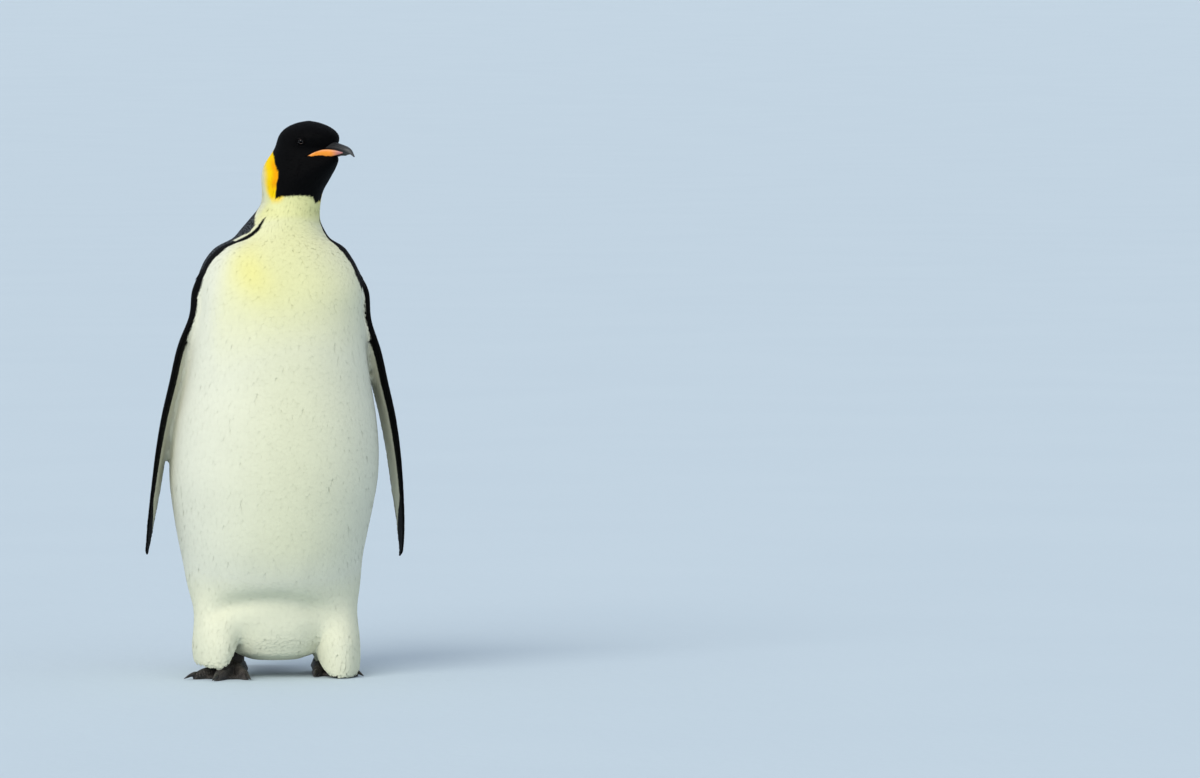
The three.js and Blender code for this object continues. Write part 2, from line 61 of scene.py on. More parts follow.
class Strand:
    """One output of a node. Python's own operators join it to further nodes."""

    def __init__(self, tree, socket=None):
        self.tree = tree
        self.socket = socket

    def make(self, kind, settings=None, sockets=None, out=0):
        """Adds a node: its settings first, then its sockets' values or links."""
        node = self.tree.nodes.new(kind)
        for word, value in (settings or {}).items():
            if word == "stops":
                while len(node.color_ramp.elements) < len(value):
                    node.color_ramp.elements.new(1.0)
                for stop, (place, colour) in zip(node.color_ramp.elements, value):
                    stop.position = place
                    stop.color = colour
            else:
                setattr(node, word, value)
        for key, value in (sockets or {}).items():
            if isinstance(value, Strand):
                self.tree.links.new(value.socket, node.inputs[key])
            else:
                node.inputs[key].default_value = value
        return Strand(self.tree, node.outputs[out])

    def maths(self, operation, *values):
        return self.make("ShaderNodeMath", {"operation": operation}, dict(enumerate(values)))

    def __add__(self, other):
        return self.maths("ADD", self, other)

    def __sub__(self, other):
        return self.maths("SUBTRACT", self, other)

    def __rsub__(self, other):
        return self.maths("SUBTRACT", other, self)

    def __mul__(self, other):
        return self.maths("MULTIPLY", self, other)

    def __abs__(self):
        return self.maths("ABSOLUTE", self)

    __radd__ = __add__
    __rmul__ = __mul__

    def wave(self):
        return self.maths("SINE", self)

    def step(self, low, high):
        """A smooth rise from 0 at low to 1 at high."""
        return self.make("ShaderNodeMapRange", {"interpolation_type": "SMOOTHSTEP"},
                         {"Value": self, "From Min": low, "From Max": high})

    def between(self, first, second):
        """The first colour where this is 0, the second where it is 1."""
        return self.make("ShaderNodeMix", {"data_type": "RGBA"}, {0: self, 6: first, 7: second},
                         out=2)

    def bright(self, amount):
        """This colour made brighter or darker by a varying amount."""
        return self.make("ShaderNodeVectorMath", {"operation": "SCALE"},
                         {0: self, "Scale": amount})

    def lump(self, height, strength, distance):
        """A Bump node driven by a height."""
        return self.make("ShaderNodeBump", {}, {"Height": height, "Strength": strength,
                                                "Distance": distance})

    def noise(self, scale, detail=3.0):
        place = self.make("ShaderNodeTexCoord", out="Object")
        return self.make("ShaderNodeTexNoise", {}, {"Vector": place, "Scale": scale,
                                                    "Detail": detail})

    def mark(self, word):
        """A value kept on the mesh's own points."""
        return self.make("ShaderNodeAttribute", {"attribute_name": word}, out="Fac")


def finish_of(name, roughness, **constants):
    """A new material, its shader, and a first strand to build on."""
    material = bpy.data.materials.new(name)
    material.use_nodes = True
    shader = material.node_tree.nodes["Principled BSDF"]
    shader.inputs["Roughness"].default_value = roughness
    for word, value in constants.items():
        shader.inputs[word.replace("_", " ")].default_value = value
    return material, shader, Strand(material.node_tree)


def feed(shader, word, strand):
    strand.tree.links.new(strand.socket, shader.inputs[word])


def set_places(mesh, points):
    """Moves a mesh's points to places in mm about the bird's axis."""
    mesh.vertices.foreach_set("co", ((points + CENTRE) * MM).astype(np.float32).ravel())


def made(name, points, faces, material, slot=None, stands_for=()):
    """A mesh piece from points in mm about the bird's axis. With a slot, it rides on the body."""
    mesh = bpy.data.meshes.new(name)
    mesh.vertices.add(len(points))
    set_places(mesh, points)
    sides = len(faces[0])
    mesh.loops.add(faces.size)
    mesh.loops.foreach_set("vertex_index", faces.astype(np.int32).ravel())
    mesh.polygons.add(len(faces))
    mesh.polygons.foreach_set("loop_start", np.arange(0, faces.size, sides, dtype=np.int32))
    mesh.update(calc_edges=True)
    mesh.shade_smooth()
    piece = bpy.data.objects.new(name, mesh)
    bpy.context.scene.collection.objects.link(piece)
    if material:
        mesh.materials.append(material)
    if slot:
        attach(piece, "root")
    if stands_for:
        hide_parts(*stands_for)
    return piece


FLOOR_REACH = 300000.0
FLAT_REACH = 40000.0            # further out the snow rises gently to the skyline
SKYLINE = 30000.0
CELLS = 60
line = np.linspace(-FLOOR_REACH, FLOOR_REACH, CELLS + 1)
x, y = np.meshgrid(line, line)
climb = (np.hypot(x, y) - FLAT_REACH).clip(0) / FLOOR_REACH
ground = np.stack([x, y, SKYLINE * climb ** 2], -1).reshape(-1, 3)
cell = (np.arange(CELLS)[:, None] * (CELLS + 1) + np.arange(CELLS)).ravel()
cells = np.stack([cell, cell + 1, cell + CELLS + 2, cell + CELLS + 1], -1)
snow, snow_shader, s = finish_of("packed_snow", 0.8)
feed(snow_shader, "Base Color", s.noise(1.3).between(SNOW, LIT_SNOW))
feed(snow_shader, "Normal", s.lump(s.noise(30.0), 0.12, 0.01))
floor = made("floor", ground - CENTRE, cells, snow)

world = bpy.data.worlds.new("sky")
world.use_nodes = True
world.node_tree.nodes["Background"].inputs["Color"].default_value = SKY
world.node_tree.nodes["Background"].inputs["Strength"].default_value = SKY_STRENGTH
bpy.context.scene.world = world

key = bpy.data.lights.new("key", "SUN")
key.energy = 2.05
key.angle = math.radians(44)
key.color = (1.0, 0.965, 0.90)
key_light = bpy.data.objects.new("key", key)
key_light.rotation_euler = Vector(KEY_FROM).to_track_quat("Z", "Y").to_euler()
bpy.context.scene.collection.objects.link(key_light)


def aimed(camera, target, spot):
    """Turns a level camera so that the target falls on a spot of the picture."""
    focal = LENS / SENSOR * PICTURE[0]
    right = (spot[0] - PICTURE[0] / 2) / focal
    up = (PICTURE[1] / 2 - spot[1]) / focal
    away = (target - camera.location).normalized()
    length = math.hypot(right, up, 1)
    tilt = math.atan2(1, up) + math.asin(away.z * length / math.hypot(up, 1))
    ahead = up * math.cos(tilt) + math.sin(tilt)
    turn = math.atan2(away.y, away.x) - math.atan2(ahead, right)
    camera.rotation_euler = (tilt, 0, turn)


camera_data = bpy.data.cameras.new("camera")
camera_data.lens = LENS
camera_data.sensor_width = SENSOR
camera_data.clip_end = 900
camera = bpy.data.objects.new("camera", camera_data)
axis_foot = Vector(CENTRE * MM)
camera.location = axis_foot + VIEW_DISTANCE * Vector((
    math.sin(VIEW_SIDE) * math.cos(VIEW_RISE),
    -math.cos(VIEW_SIDE) * math.cos(VIEW_RISE),
    math.sin(VIEW_RISE),
))
aimed(camera, axis_foot, AXIS_IN_PICTURE)
bpy.context.scene.collection.objects.link(camera)
bpy.context.scene.camera = camera
bpy.context.scene.view_settings.view_transform = "Standard"

# ---- skin ------------------------------------------------------------------------------------
# One skin runs over head, neck, trunk, tail, legs and flippers with no seam. It lies inside the
# outline by the depth of the coat, and folds where the belly meets the apron between the legs.

# Body, neck and head: height, then the upright axis (x, y), the yaw in degrees,
# reach forward, reach back, half-width, and how far the front narrows.
BODY = np.array([
    [30, -4, -14, 0, 44, 40, 46, 0],
    [42, -4, -10, 0, 84, 74, 78, 0],
    [62, -4, -6, 0, 102, 106, 102, 0],
    [88, -4, -2, 0, 114, 124, 122, 0],
    [116, -2, 0, 0, 118, 132, 143, 0],
    [142, -2, 0, 0, 129, 136, 157, 0],
    [179, -5, 0, 0, 149, 140, 163, 0],
    [215, -7, 0, 0, 163, 141, 166, 0],
    [252, -7, 0, 0, 173, 145, 173, 0],
    [300, -6, 0, 0, 182, 149, 182, 0],
    [361, -4, 0, 0, 188, 154, 191, 0],
    [416, -2, 0, 0, 187, 157, 191, 0],
    [470, -1, 0, 0, 182, 158, 186, 0],
    [530, 1, 0, 0, 172, 158, 175, 0],
    [600, 2, 1, 0, 160, 155, 164, 0],
    [660, 4, 3, 0, 147, 148, 157, 0],
    [708, 8, 5, 0, 134, 139, 155, 0],
    [745, 9, 8, 0, 120, 130, 145, 0],
    [768, 9, 10, 0, 109, 120, 132, 0],
    [785, 11, 12, 0, 98, 110, 117, 0],
    [800, 14, 14, 2, 88, 100, 90, 0],
    [816, 16, 15, 4, 78, 90, 77, 0],
    [834, 20, 15, 6, 70, 80, 65, 0],
    [863, 31, 14, 9, 64, 70, 53, 0],
    [888, 34.5, 12, 16, 63, 67, 53.5, 0],
    [912, 41, 8, 28, 70, 74, 57, 0.05],
    [931, 48, 5, 36, 76, 78, 56, 0.15],
    [947, 55, 2, 40, 78, 75, 53, 0.42],
    [956, 58, 0, 42, 70, 70, 52, 0.58],
    [966, 61, 0, 42, 62, 66, 51, 0.58],
    [977, 62, 0, 42, 64, 62, 50.5, 0.3],
    [988, 62, 0, 42, 62, 57.5, 48.5, 0.06],
    [1000, 63, 0, 42, 51, 50, 41.5, 0],
    [1009, 63, 0, 42, 36, 37, 30, 0],
    [1015, 63, 0, 42, 19, 20, 16, 0],
    [1018, 63, 0, 42, 3, 3, 2.5, 0],
])
SQUARENESS = 0.93

# The coat by height: depth, spacing of its feathers, their length and width.
COAT = np.array([
    [0, 1.6, 3.2, 10, 5.4],
    [50, 1.8, 3.9, 15, 7.8],
    [110, 2.2, 4.7, 24, 11],
    [745, 2.2, 4.6, 24, 11],
    [795, 1.9, 3.1, 13, 6.6],
    [850, 1.8, 2.9, 11, 5.8],
    [880, 1.7, 2.5, 9, 4.8],
    [940, 1.5, 2.2, 7.4, 3.8],
    [1018, 1.4, 2.1, 6.6, 3.4],
])
FLIPPER_COAT = (0.8, 2.3, 6.4, 3.1)

# Flipper: height, leading edge out from the middle, leading edge forward (-), chord, thickness.
FLIPPER = np.array([
    [221, 234, 12, 6, 2],
    [228, 237, 2, 20, 2.6],
    [246, 238, -10, 38, 3.6],
    [286, 237.5, -24, 60, 5.5],
    [343, 234, -37, 83, 8.5],
    [416, 227, -46, 93, 12],
    [480, 217, -49, 97, 14.5],
    [540, 203, -48, 96, 16],
    [600, 189, -44, 91, 17],
    [650, 173, -38, 85, 21],
    [700, 165, -28, 77, 30],
    [738, 144, -12, 60, 28],
])
FLIPPERS = {      # side, turn at tip and root in degrees, held out at tip and root, drop, shoulder
    "right": (-1, (18, 19), (4, 4), 0, (-7, 677, 36)),
    "left": (1, (3, 14), (-1, 9), 9, (9, 726, 38)),
}

# Leg: height, shift, fore-and-aft middle, half-depth, half-width.
LEG = np.array([
    [2, 0, -38, 56, 43],
    [30, 0, -38, 60, 45.5],
    [70, -1, -36, 64, 45.5],
    [110, -3, -30, 64, 46],
    [150, -8, -22, 54, 42],
    [185, -14, -14, 38, 31],
    [205, -18, -10, 22, 17],
])
LEGS = {          # side, distance out, hem: low, inside, outside, apron, power
    "right": (-1, 115, 22, 68, 4, 22, 1.7),
    "left": (1, 105, 3, 44, 0, 34, 4),
}

# Tail: root to tip, height, back, half-width, half-thickness.
TAIL = np.array([
    [0, 178, 92, 44, 36],
    [0.25, 138, 120, 54, 30],
    [0.5, 100, 149, 53, 20],
    [0.75, 65, 178, 44, 9.5],
    [0.92, 43, 199, 30, 4],
    [1, 32, 211, 15, 1.8],
])
LEG_COAT = 2.6
HEM_COAT = 1.5
TAIL_LEAN = math.radians(42)
TAIL_X = -4
TAIL_ARCH = 0.004
GRIDS = {"body": (320, 110), "leg": (60, 60), "tail": (40, 40), "flipper": (150, 48)}
TAIL_COAT = 2.5
VOXEL = 4.0
SPARE = 3.5       # flippers are this much thicker, and blunter, until the skin is one
BLUNT = 0.55
FLIPPER_SKIN = FLIPPER_COAT[0]
FLIPPER_INSIDE, FLIPPER_TOP = 100, 744        # no flipper nearer the middle, or higher
FLIPPER_REACH = 0.64                          # its widest, in chords from its own middle
THINNEST = 0.35


def smooth(rows, places):
    """A table's values at any places, on a smooth curve through its rows."""
    at = rows[:, 0]
    slope = np.diff(rows[:, 1:], axis=0) / np.diff(at)[:, None]
    lean = np.vstack([slope[:1], (slope[1:] + slope[:-1]) / 2, slope[-1:]])
    shape = np.shape(places)
    places = np.clip(np.ravel(places), at[0], at[-1])
    i = np.clip(np.searchsorted(at, places, side="right") - 1, 0, len(at) - 2)
    gap = (at[i + 1] - at[i])[:, None]
    t = (places - at[i])[:, None] / gap
    found = ((1 + 2 * t) * (1 - t) ** 2 * rows[i, 1:] + t * (1 - t) ** 2 * gap * lean[i]
             + t * t * (3 - 2 * t) * rows[i + 1, 1:] - t * t * (1 - t) * gap * lean[i + 1])
    return found.T.reshape(-1, *shape)


def rise(value, low, high):
    """A smooth rise from 0 at low to 1 at high."""
    t = np.clip((value - low) / (high - low), 0, 1)
    return t * t * (3 - 2 * t)


def hump(value, middle, width):
    """1 at the middle, falling off smoothly on both sides."""
    return np.exp(-((value - middle) / width) ** 2)


def unit(vectors):
    return vectors / np.maximum(np.linalg.norm(vectors, axis=-1, keepdims=True), 1e-9)


def circle(sides):
    return np.arange(sides) * (2 * math.pi / sides)


def loft(x, y, z):
    """Points and faces of a closed skin over rings, given as (ring, side) arrays."""
    x, y, z = np.broadcast_arrays(x, y, z)
    rings, sides = x.shape
    points = np.stack([x, y, z], axis=-1).reshape(-1, 3)
    row, side = np.meshgrid(np.arange(rings - 1), np.arange(sides), indexing="ij")
    a = row * sides + side
    b = row * sides + (side + 1) % sides
    quads = np.stack([a, b, b + sides, a + sides], -1).reshape(-1, 4)
    triangles = [quads[:, [0, 1, 2]], quads[:, [0, 2, 3]]]
    for ring, flip in ((0, True), (rings - 1, False)):
        hub = len(points)
        rim = ring * sides + np.arange(sides)
        points = np.vstack([points, points[rim].mean(0)])
        on = np.roll(rim, -1)
        cap = np.stack([np.full(sides, hub), on, rim] if flip
                       else [np.full(sides, hub), rim, on], -1)
        triangles.append(cap)
    return points, np.vstack(triangles)


def grid_of(kind, start, end):
    """Evenly spaced rings from start to end, and the angles round them."""
    rings, sides = GRIDS[kind]
    return np.linspace(start, end, rings)[:, None], circle(sides)[None, :]


def body_form():
    height, turn = grid_of("body", BODY[0, 0], BODY[-1, 0])
    x, y, yaw, ahead, back, half, narrow = smooth(BODY, height)
    depth = np.interp(height, COAT[:, 0], COAT[:, 1])
    along, across = np.cos(turn), np.sin(turn)
    reach = np.where(along > 0, ahead - depth, back - depth).clip(0.6)
    reach = reach * np.sign(along) * np.abs(along) ** SQUARENESS
    side = (half - depth).clip(0.6) * (1 - narrow * along.clip(0))
    side = side * np.sign(across) * np.abs(across) ** SQUARENESS
    yaw = np.radians(yaw)
    z = height + depth * (1 - rise(height, 30, 75)) - depth * rise(height, 985, 1018)
    return loft(x + reach * np.sin(yaw) + side * np.cos(yaw),
                y - reach * np.cos(yaw) + side * np.sin(yaw), z)


def leg_form(name):
    side, out, low, inside, outside, apron, power = LEGS[name]
    bottom, top = LEG[0, 0], LEG[-1, 0]
    height, turn = grid_of("leg", bottom, top)
    shift, middle, depth, half = smooth(LEG, height)
    outward, ahead = np.cos(turn), np.sin(turn)
    hem = low + np.where(outward < 0, inside, outside) * np.abs(outward) ** power + HEM_COAT
    reach = np.where(ahead < 0, depth + apron * (1 - height / top), depth * 0.9) - LEG_COAT
    return loft(side * (out + shift + (half - LEG_COAT) * outward), middle + reach * ahead,
                hem + (height - bottom) * (top - hem) / (top - bottom))


def tail_form():
    share, turn = grid_of("tail", 0, 1)
    height, back, half, thick = smooth(TAIL, share)
    coat = np.minimum(TAIL_COAT, thick * 0.4)
    across = (half - coat) * np.cos(turn)
    lift = (thick - coat) * np.sin(turn) - TAIL_ARCH * across ** 2
    return loft(TAIL_X + across, back + lift * math.sin(TAIL_LEAN),
                height + lift * math.cos(TAIL_LEAN))


def flipper_pose(name, height):
    """How far a flipper is held out and turned in at each height, and how high that is on it."""
    _, turn, out, _, (shrug, level, span) = FLIPPERS[name]
    raised = (height - FLIPPER[0, 0]) / (FLIPPER[-1, 0] - FLIPPER[0, 0])
    held = out[0] + (out[1] - out[0]) * raised + shrug * hump(height, level, span)
    return held, np.radians(turn[0] + (turn[1] - turn[0]) * raised), raised


def blade_thickness(share, thick):
    """Half the thickness: fuller behind the leading edge, thin at the rear."""
    return thick / 2 * (1.25 - 0.85 * share)


def blade_place(name, height, back, off):
    """Across and forward place of a point behind the leading edge and off the middle."""
    out, leading, _, thick = smooth(FLIPPER, height)
    held, inward, _ = flipper_pose(name, height)
    x = out + held - back * np.sin(inward) + off * np.cos(inward) - thick / 2
    return FLIPPERS[name][0] * x, leading + back * np.cos(inward) + off * np.sin(inward)


def spare_at(height):
    """How much thicker and blunter a flipper is for now. At the shoulder it is as it will be."""
    much = rise(height, 690, 610)
    return SPARE * much - FLIPPER_SKIN * (1 - much), 1 - (1 - BLUNT) * much


def flipper_form(name):
    height, turn = grid_of("flipper", FLIPPER[0, 0], FLIPPER[-1, 0])
    _, _, chord, thick = smooth(FLIPPER, height)
    share = (1 - np.cos(turn)) / 2
    spare, blunt = spare_at(height)
    off = (blade_thickness(share, thick) + spare) * np.sign(np.sin(turn))
    off = off * np.abs(np.sin(turn)) ** blunt
    x, y = blade_place(name, height, share * (chord + 2 * spare) - spare, off)
    raised = flipper_pose(name, height)[2]
    return loft(x, y, height - FLIPPERS[name][3] * (1 - raised))


def undropped(name, z):
    """Heights in the flipper's own table for heights on the bird."""
    drop, low = FLIPPERS[name][3], FLIPPER[0, 0]
    span = FLIPPER[-1, 0] - low
    return (z + drop * (1 + low / span)) / (1 + drop / span)


def in_flipper(name, points):
    """Share of the chord, distance off the middle, chord and thickness at each point."""
    side, height = FLIPPERS[name][0], undropped(name, points[:, 2])
    out, leading, chord, thick = smooth(FLIPPER, height)
    held, inward, _ = flipper_pose(name, height)
    dx = side * points[:, 0] - out - held + thick / 2
    dy = points[:, 1] - leading
    back = dy * np.cos(inward) - dx * np.sin(inward)
    return back / chord, dx * np.cos(inward) + dy * np.sin(inward), chord, thick


def applied(piece, kind, **settings):
    """The piece's mesh after one modifier."""
    modifier = piece.modifiers.new(kind, kind)
    for word, value in settings.items():
        setattr(modifier, word, value)
    ready = piece.evaluated_get(bpy.context.evaluated_depsgraph_get())
    mesh = bpy.data.meshes.new_from_object(ready)
    piece.modifiers.clear()
    piece.data = mesh
    return mesh


def numbers(data, word, width, kind=np.float32):
    values = np.zeros(len(data) * width, kind)
    data.foreach_get(word, values)
    return values.reshape(-1, width)


def places_of(mesh):
    """A mesh's points in mm about the bird's axis."""
    return numbers(mesh.vertices, "co", 3).astype(float) / MM - CENTRE


class Web:
    """A mesh's points, edges and triangles, with its own smoothing."""

    def __init__(self, mesh):
        self.points = places_of(mesh)
        self.edges = numbers(mesh.edges, "vertices", 2, np.int32)
        count = len(self.points)
        self.weight = np.bincount(self.edges.ravel(), minlength=count).clip(1)
        mesh.calc_loop_triangles()
        self.faces = numbers(mesh.loop_triangles, "vertices", 3, np.int32)

    def spread(self, values):
        """The mean of each point's neighbours."""
        a, b = self.edges.T
        count = len(self.points)
        flat = values.reshape(count, -1)
        total = [np.bincount(a, column[b], count) + np.bincount(b, column[a], count)
                 for column in flat.T]
        return (np.array(total) / self.weight).T.reshape(values.shape)

    def relax(self, rounds, share=1.0):
        """Smooths without shrinking. The share may differ from point to point."""
        for _ in range(rounds):
            for pull in (0.5, -0.52):
                self.points += pull * share * (self.spread(self.points) - self.points)

    def soften(self, rounds, share):
        """Smooths and fills, as a soft hide does over a hollow."""
        for _ in range(rounds):
            self.points += 0.5 * share * (self.spread(self.points) - self.points)

    def normals(self):
        a, b, c = (self.points[self.faces[:, i]] for i in range(3))
        facing = np.cross(b - a, c - a)
        total = np.zeros_like(self.points)
        for axis in range(3):
            for corner in range(3):
                total[:, axis] += np.bincount(self.faces[:, corner], facing[:, axis],
                                              len(self.points))
        return unit(total)


def joined(forms):
    points, faces, count = [], [], 0
    for form_points, form_faces in forms:
        points.append(form_points)
        faces.append(form_faces + count)
        count += len(form_points)
    return np.vstack(points), np.vstack(faces)


skin = made("skin", *joined([body_form(), tail_form()]
                            + [leg_form(name) for name in LEGS]
                            + [flipper_form(name) for name in FLIPPERS]), None)
applied(skin, "REMESH", mode="VOXEL", voxel_size=VOXEL * MM)
web = Web(skin.data)
web.relax(3)
web.relax(4, rise(web.points[:, 2], 940, 905)[:, None])


def bearing(points):
    """Degrees round the body from straight ahead, to the bird's left, with its twist taken out."""
    x, y, yaw = (np.interp(points[:, 2], BODY[:, 0], BODY[:, column]) for column in (1, 2, 3))
    round_it = np.degrees(np.arctan2(points[:, 0] - x, y - points[:, 1])) - yaw
    return (round_it + 180) % 360 - 180


def flipper_share(points):
    """1 on the flippers and 0 elsewhere, sharply."""
    on = np.zeros(len(points))
    for name in FLIPPERS:
        share, off, _, thick = in_flipper(name, points)
        spare, _ = spare_at(points[:, 2])
        room = blade_thickness(share.clip(0, 1), thick) + spare.clip(0) + 0.8
        side = FLIPPERS[name][0]
        on[(np.abs(share - 0.5) < FLIPPER_REACH) & (np.abs(off) < room)
           & (points[:, 2] < FLIPPER_TOP) & (points[:, 0] * side > FLIPPER_INSIDE)] = 1
    return on


# The flippers are merged in thick, smoothed along their joint with the body, then thinned.
on_flipper = flipper_share(web.points)
blend = on_flipper.copy()
for _ in range(10):
    blend = web.spread(blend)
seam = (4 * blend * (1 - blend) * rise(web.points[:, 2], 400, 440))[:, None]
web.relax(20, seam)
for _ in range(4):
    on_flipper = web.spread(on_flipper)


def slimmed(name, points, coat):
    """Flipper points moved from the thick, blunt form to the true one less its coat."""
    share, off, chord, thick = in_flipper(name, points)
    height = undropped(name, points[:, 2])
    spare, blunt = spare_at(height)
    along = 1 - 2 * ((share * chord + spare) / (chord + 2 * spare)).clip(0, 1)
    half = blade_thickness((1 - along) / 2, thick)
    lift = (np.abs(off) / (half + spare)).clip(0, 1) ** (1 / blunt)
    full = np.hypot(along, lift).clip(0, 1)
    turn = np.arctan2(lift, along)
    back = chord / 2 - (chord / 2 - coat) * np.cos(turn) * full
    off = np.sign(off) * (half - coat).clip(THINNEST) * np.sin(turn) * full
    return np.stack([*blade_place(name, height, back, off), points[:, 2]], -1)


for name, (side, *_) in FLIPPERS.items():
    near = (on_flipper > 0) & (web.points[:, 0] * side > 0)
    true = slimmed(name, web.points[near], FLIPPER_SKIN)
    share = (on_flipper[near] * rise(web.points[near, 2], 735, 660))[:, None]
    web.points[near] += share * (true - web.points[near])

web.soften(30, seam ** 0.5)

# The thighs run softly into the flanks above the knee.
across, height = np.abs(web.points[:, 0]), web.points[:, 2]
soft = rise(height, 246, 185) * rise(height, 60, 108) * rise(across, 24, 56) * (1 - on_flipper)
web.soften(170, soft[:, None])

# The belly folds over the apron of feathers between the legs.
FOLD_HEIGHT, FOLD_BEARING, FOLD_ARCH = 142, -12, 0.0085
FOLD_DEPTH, FOLD_WIDTH = 12, 17
round_it = bearing(web.points)
below = web.points[:, 2] - FOLD_HEIGHT + FOLD_ARCH * (round_it - FOLD_BEARING) ** 2
fold = hump(below, 0, FOLD_WIDTH) * rise(np.abs(round_it - FOLD_BEARING), 56, 34)
web.points -= web.normals() * (FOLD_DEPTH * fold)[:, None]
set_places(skin.data, web.points)


def coat_point(height, turn):
    """A point of the outer coat, at a bearing in radians from straight ahead."""
    x, y, yaw, ahead, back, half, narrow = smooth(BODY, height)
    along, across = math.cos(turn), math.sin(turn)
    reach = (ahead if along > 0 else back) * math.copysign(abs(along) ** SQUARENESS, along)
    side = half * (1 - narrow * max(along, 0)) * math.copysign(abs(across) ** SQUARENESS, across)
    yaw = math.radians(yaw)
    return np.array([x + reach * math.sin(yaw) + side * math.cos(yaw),
                     y - reach * math.cos(yaw) + side * math.sin(yaw), height])


# Eyes: the ball, where it sits, and the opening between the lids.
EYE_RADIUS, EYE_HEIGHT, EYE_BEARING, EYE_PROUD = 9.5, 979.5, 74, 1.8
OPENING_LENGTH, OPENING_FLATNESS, OPENING_DEPTH = 1.12, 1.10, 5.0
EYES = {}
for name, side in (("right", -1), ("left", 1)):
    turn = math.radians(side * EYE_BEARING)
    spot = coat_point(EYE_HEIGHT, turn)
    ahead = coat_point(EYE_HEIGHT, turn - side * 0.05) - coat_point(EYE_HEIGHT, turn + side * 0.05)
    up = coat_point(EYE_HEIGHT + 1, turn) - coat_point(EYE_HEIGHT - 1, turn)
    out = unit(np.cross(ahead, up) * -side)
    ahead = unit(ahead - out * ahead.dot(out))
    EYES[name] = (spot + out * (EYE_PROUD - EYE_RADIUS), out, ahead, np.cross(out, ahead) * -side)


def about_eye(name, points):
    """Distance from the eye's middle as the lids see it, a little longer than high."""
    centre, out, ahead, up = EYES[name]
    from_it = points - centre
    height = from_it @ out
    reach = np.hypot(from_it @ ahead / OPENING_LENGTH, from_it @ up * OPENING_FLATNESS)
    return reach, height


# The skin is made finer round the eyes, and the lids are raised on it.
for reach in (17, 14):
    grid = bmesh.new()
    grid.from_mesh(skin.data)
    spots = [Vector((EYES[name][0] + CENTRE) * MM) for name in EYES]
    near = [e for e in grid.edges
            if min((e.verts[0].co - spot).length for spot in spots) < reach * MM]
    bmesh.ops.subdivide_edges(grid, edges=near, cuts=1, use_grid_fill=True)
    bmesh.ops.triangulate(grid, faces=[f for f in grid.faces if len(f.verts) > 4])
    grid.to_mesh(skin.data)
    grid.free()
web = Web(skin.data)
LID_REACH, LID_WIDTH, LID_HEIGHT, LID_SPREAD = 6.0, 1.4, 2.2, 16
FOLD_REACH, GROOVE_REACH, LID_FOLD = 10.5, 8.8, 0.5
for name in EYES:
    reach, height = about_eye(name, web.points)
    close = (reach < LID_SPREAD) & (height > 0)
    out = EYES[name][1]
    web.relax(3, (close * 0.8)[:, None])
    # A rim, the opening inside it, and a fine fold round it.
    lift = LID_HEIGHT * hump(reach, LID_REACH, LID_WIDTH)
    lift -= OPENING_DEPTH * rise(reach, 5.6, 4.2)
    lift += LID_FOLD * hump(reach, FOLD_REACH, 1.2) - LID_FOLD * hump(reach, GROOVE_REACH, 0.8)
    web.points += (lift * close)[:, None] * out
set_places(skin.data, web.points)
skin_normals = web.normals()

# ---- markings --------------------------------------------------------------------------------
# Black hood, gold patches behind the ears that fade down into a pale yellow breast, cream-white
# front, charcoal back with a black border. Skin and feathers take them from the same functions.

# The black border along each side of the back, from the tip of its curl on the neck down past
# the wing to the rump: height, degrees round from the front, half-width.
LOW_BORDER = [(80, 152, 5), (130, 148, 7), (175, 140, 9), (215, 129, 11), (255, 118, 11),
              (320, 110, 11), (450, 106, 11), (600, 106, 11), (655, 103, 11)]
BORDER = {
    -1: LOW_BORDER + [(690, 96, 11), (712, 85, 11), (727, 82, 11), (742, 80, 11), (753, 79, 10.5),
                      (767, 77, 10), (778, 73, 9.4), (789, 71, 8.2), (797, 67, 7), (801, 62, 6.5),
                      (806, 57, 6.3), (811, 52.8, 5.9), (821, 49.5, 5), (834, 50.8, 3),
                      (842, 50.5, 0.8)],
    1: LOW_BORDER + [(680, 96, 11), (698, 83, 11), (716, 74, 11), (736, 70, 10.5),
                     (756, 70, 10), (771, 68.5, 10), (786, 67, 11), (798, 68, 12),
                     (806, 66.5, 9), (813, 63, 4.6), (827, 61.5, 2.4), (842, 58, 0.8)],
}
# Front edge of the slate mantle and of the dark nape above it: height, degrees.
MANTLE = [(798, 82), (803, 78), (807, 74), (810, 65.5), (814, 60.5), (827, 60.5), (836, 73),
          (845, 92), (853, 110), (865, 122), (880, 131), (900, 139), (930, 150), (950, 160),
          (965, 171), (976, 181)]
# Side edge of the hood, where the gold begins: height, degrees.
HOOD_EDGE = [(868, 50), (878, 54), (891, 59), (902, 68), (913, 73), (924, 84), (933, 100),
             (942, 115), (953, 131), (962, 152), (972, 181)]
HOOD_HEM, HEM_ARCH, HEM_MIDDLE = 881, 0.0035, -12
LOBE, LOBE_WIDTH, LOBE_DEPTH = 29, 8, 9       # one lobe of the hem: bearing, width, depth
# How far the gold spreads behind the hood: height, distance.
GOLD_SPREAD = [(862, 6), (872, 13), (890, 36), (909, 48), (925, 54), (955, 50)]
NECK_YELLOW, CHEST_YELLOW, BELLY_YELLOW, LEAST_YELLOW = 0.85, 0.72, 0.24, 0.10
CHEST_MIDDLE, CHEST_SPREAD = -4, 74           # bearings in degrees
BELLY_MIDDLE, BELLY_SPREAD = 4, 40
# Painted sunlight on the breast, a slanting oval: bearing, height, length, width.
PAINTED_LIGHT_BEARING, PAINTED_LIGHT_HEIGHT, PAINTED_LIGHT_LENGTH, PAINTED_LIGHT_WIDTH = -32, 744, 58, 34
DEGREE = 2.4                                  # mm round the breast for each degree there
# How far the black comes round the front of a flipper's root: height, distance inwards.
ROOT_EDGE = [(600, 40), (615, 7), (645, 6), (671, 4.5), (698, 2.5), (714, 7), (730, 12), (745, 40)]

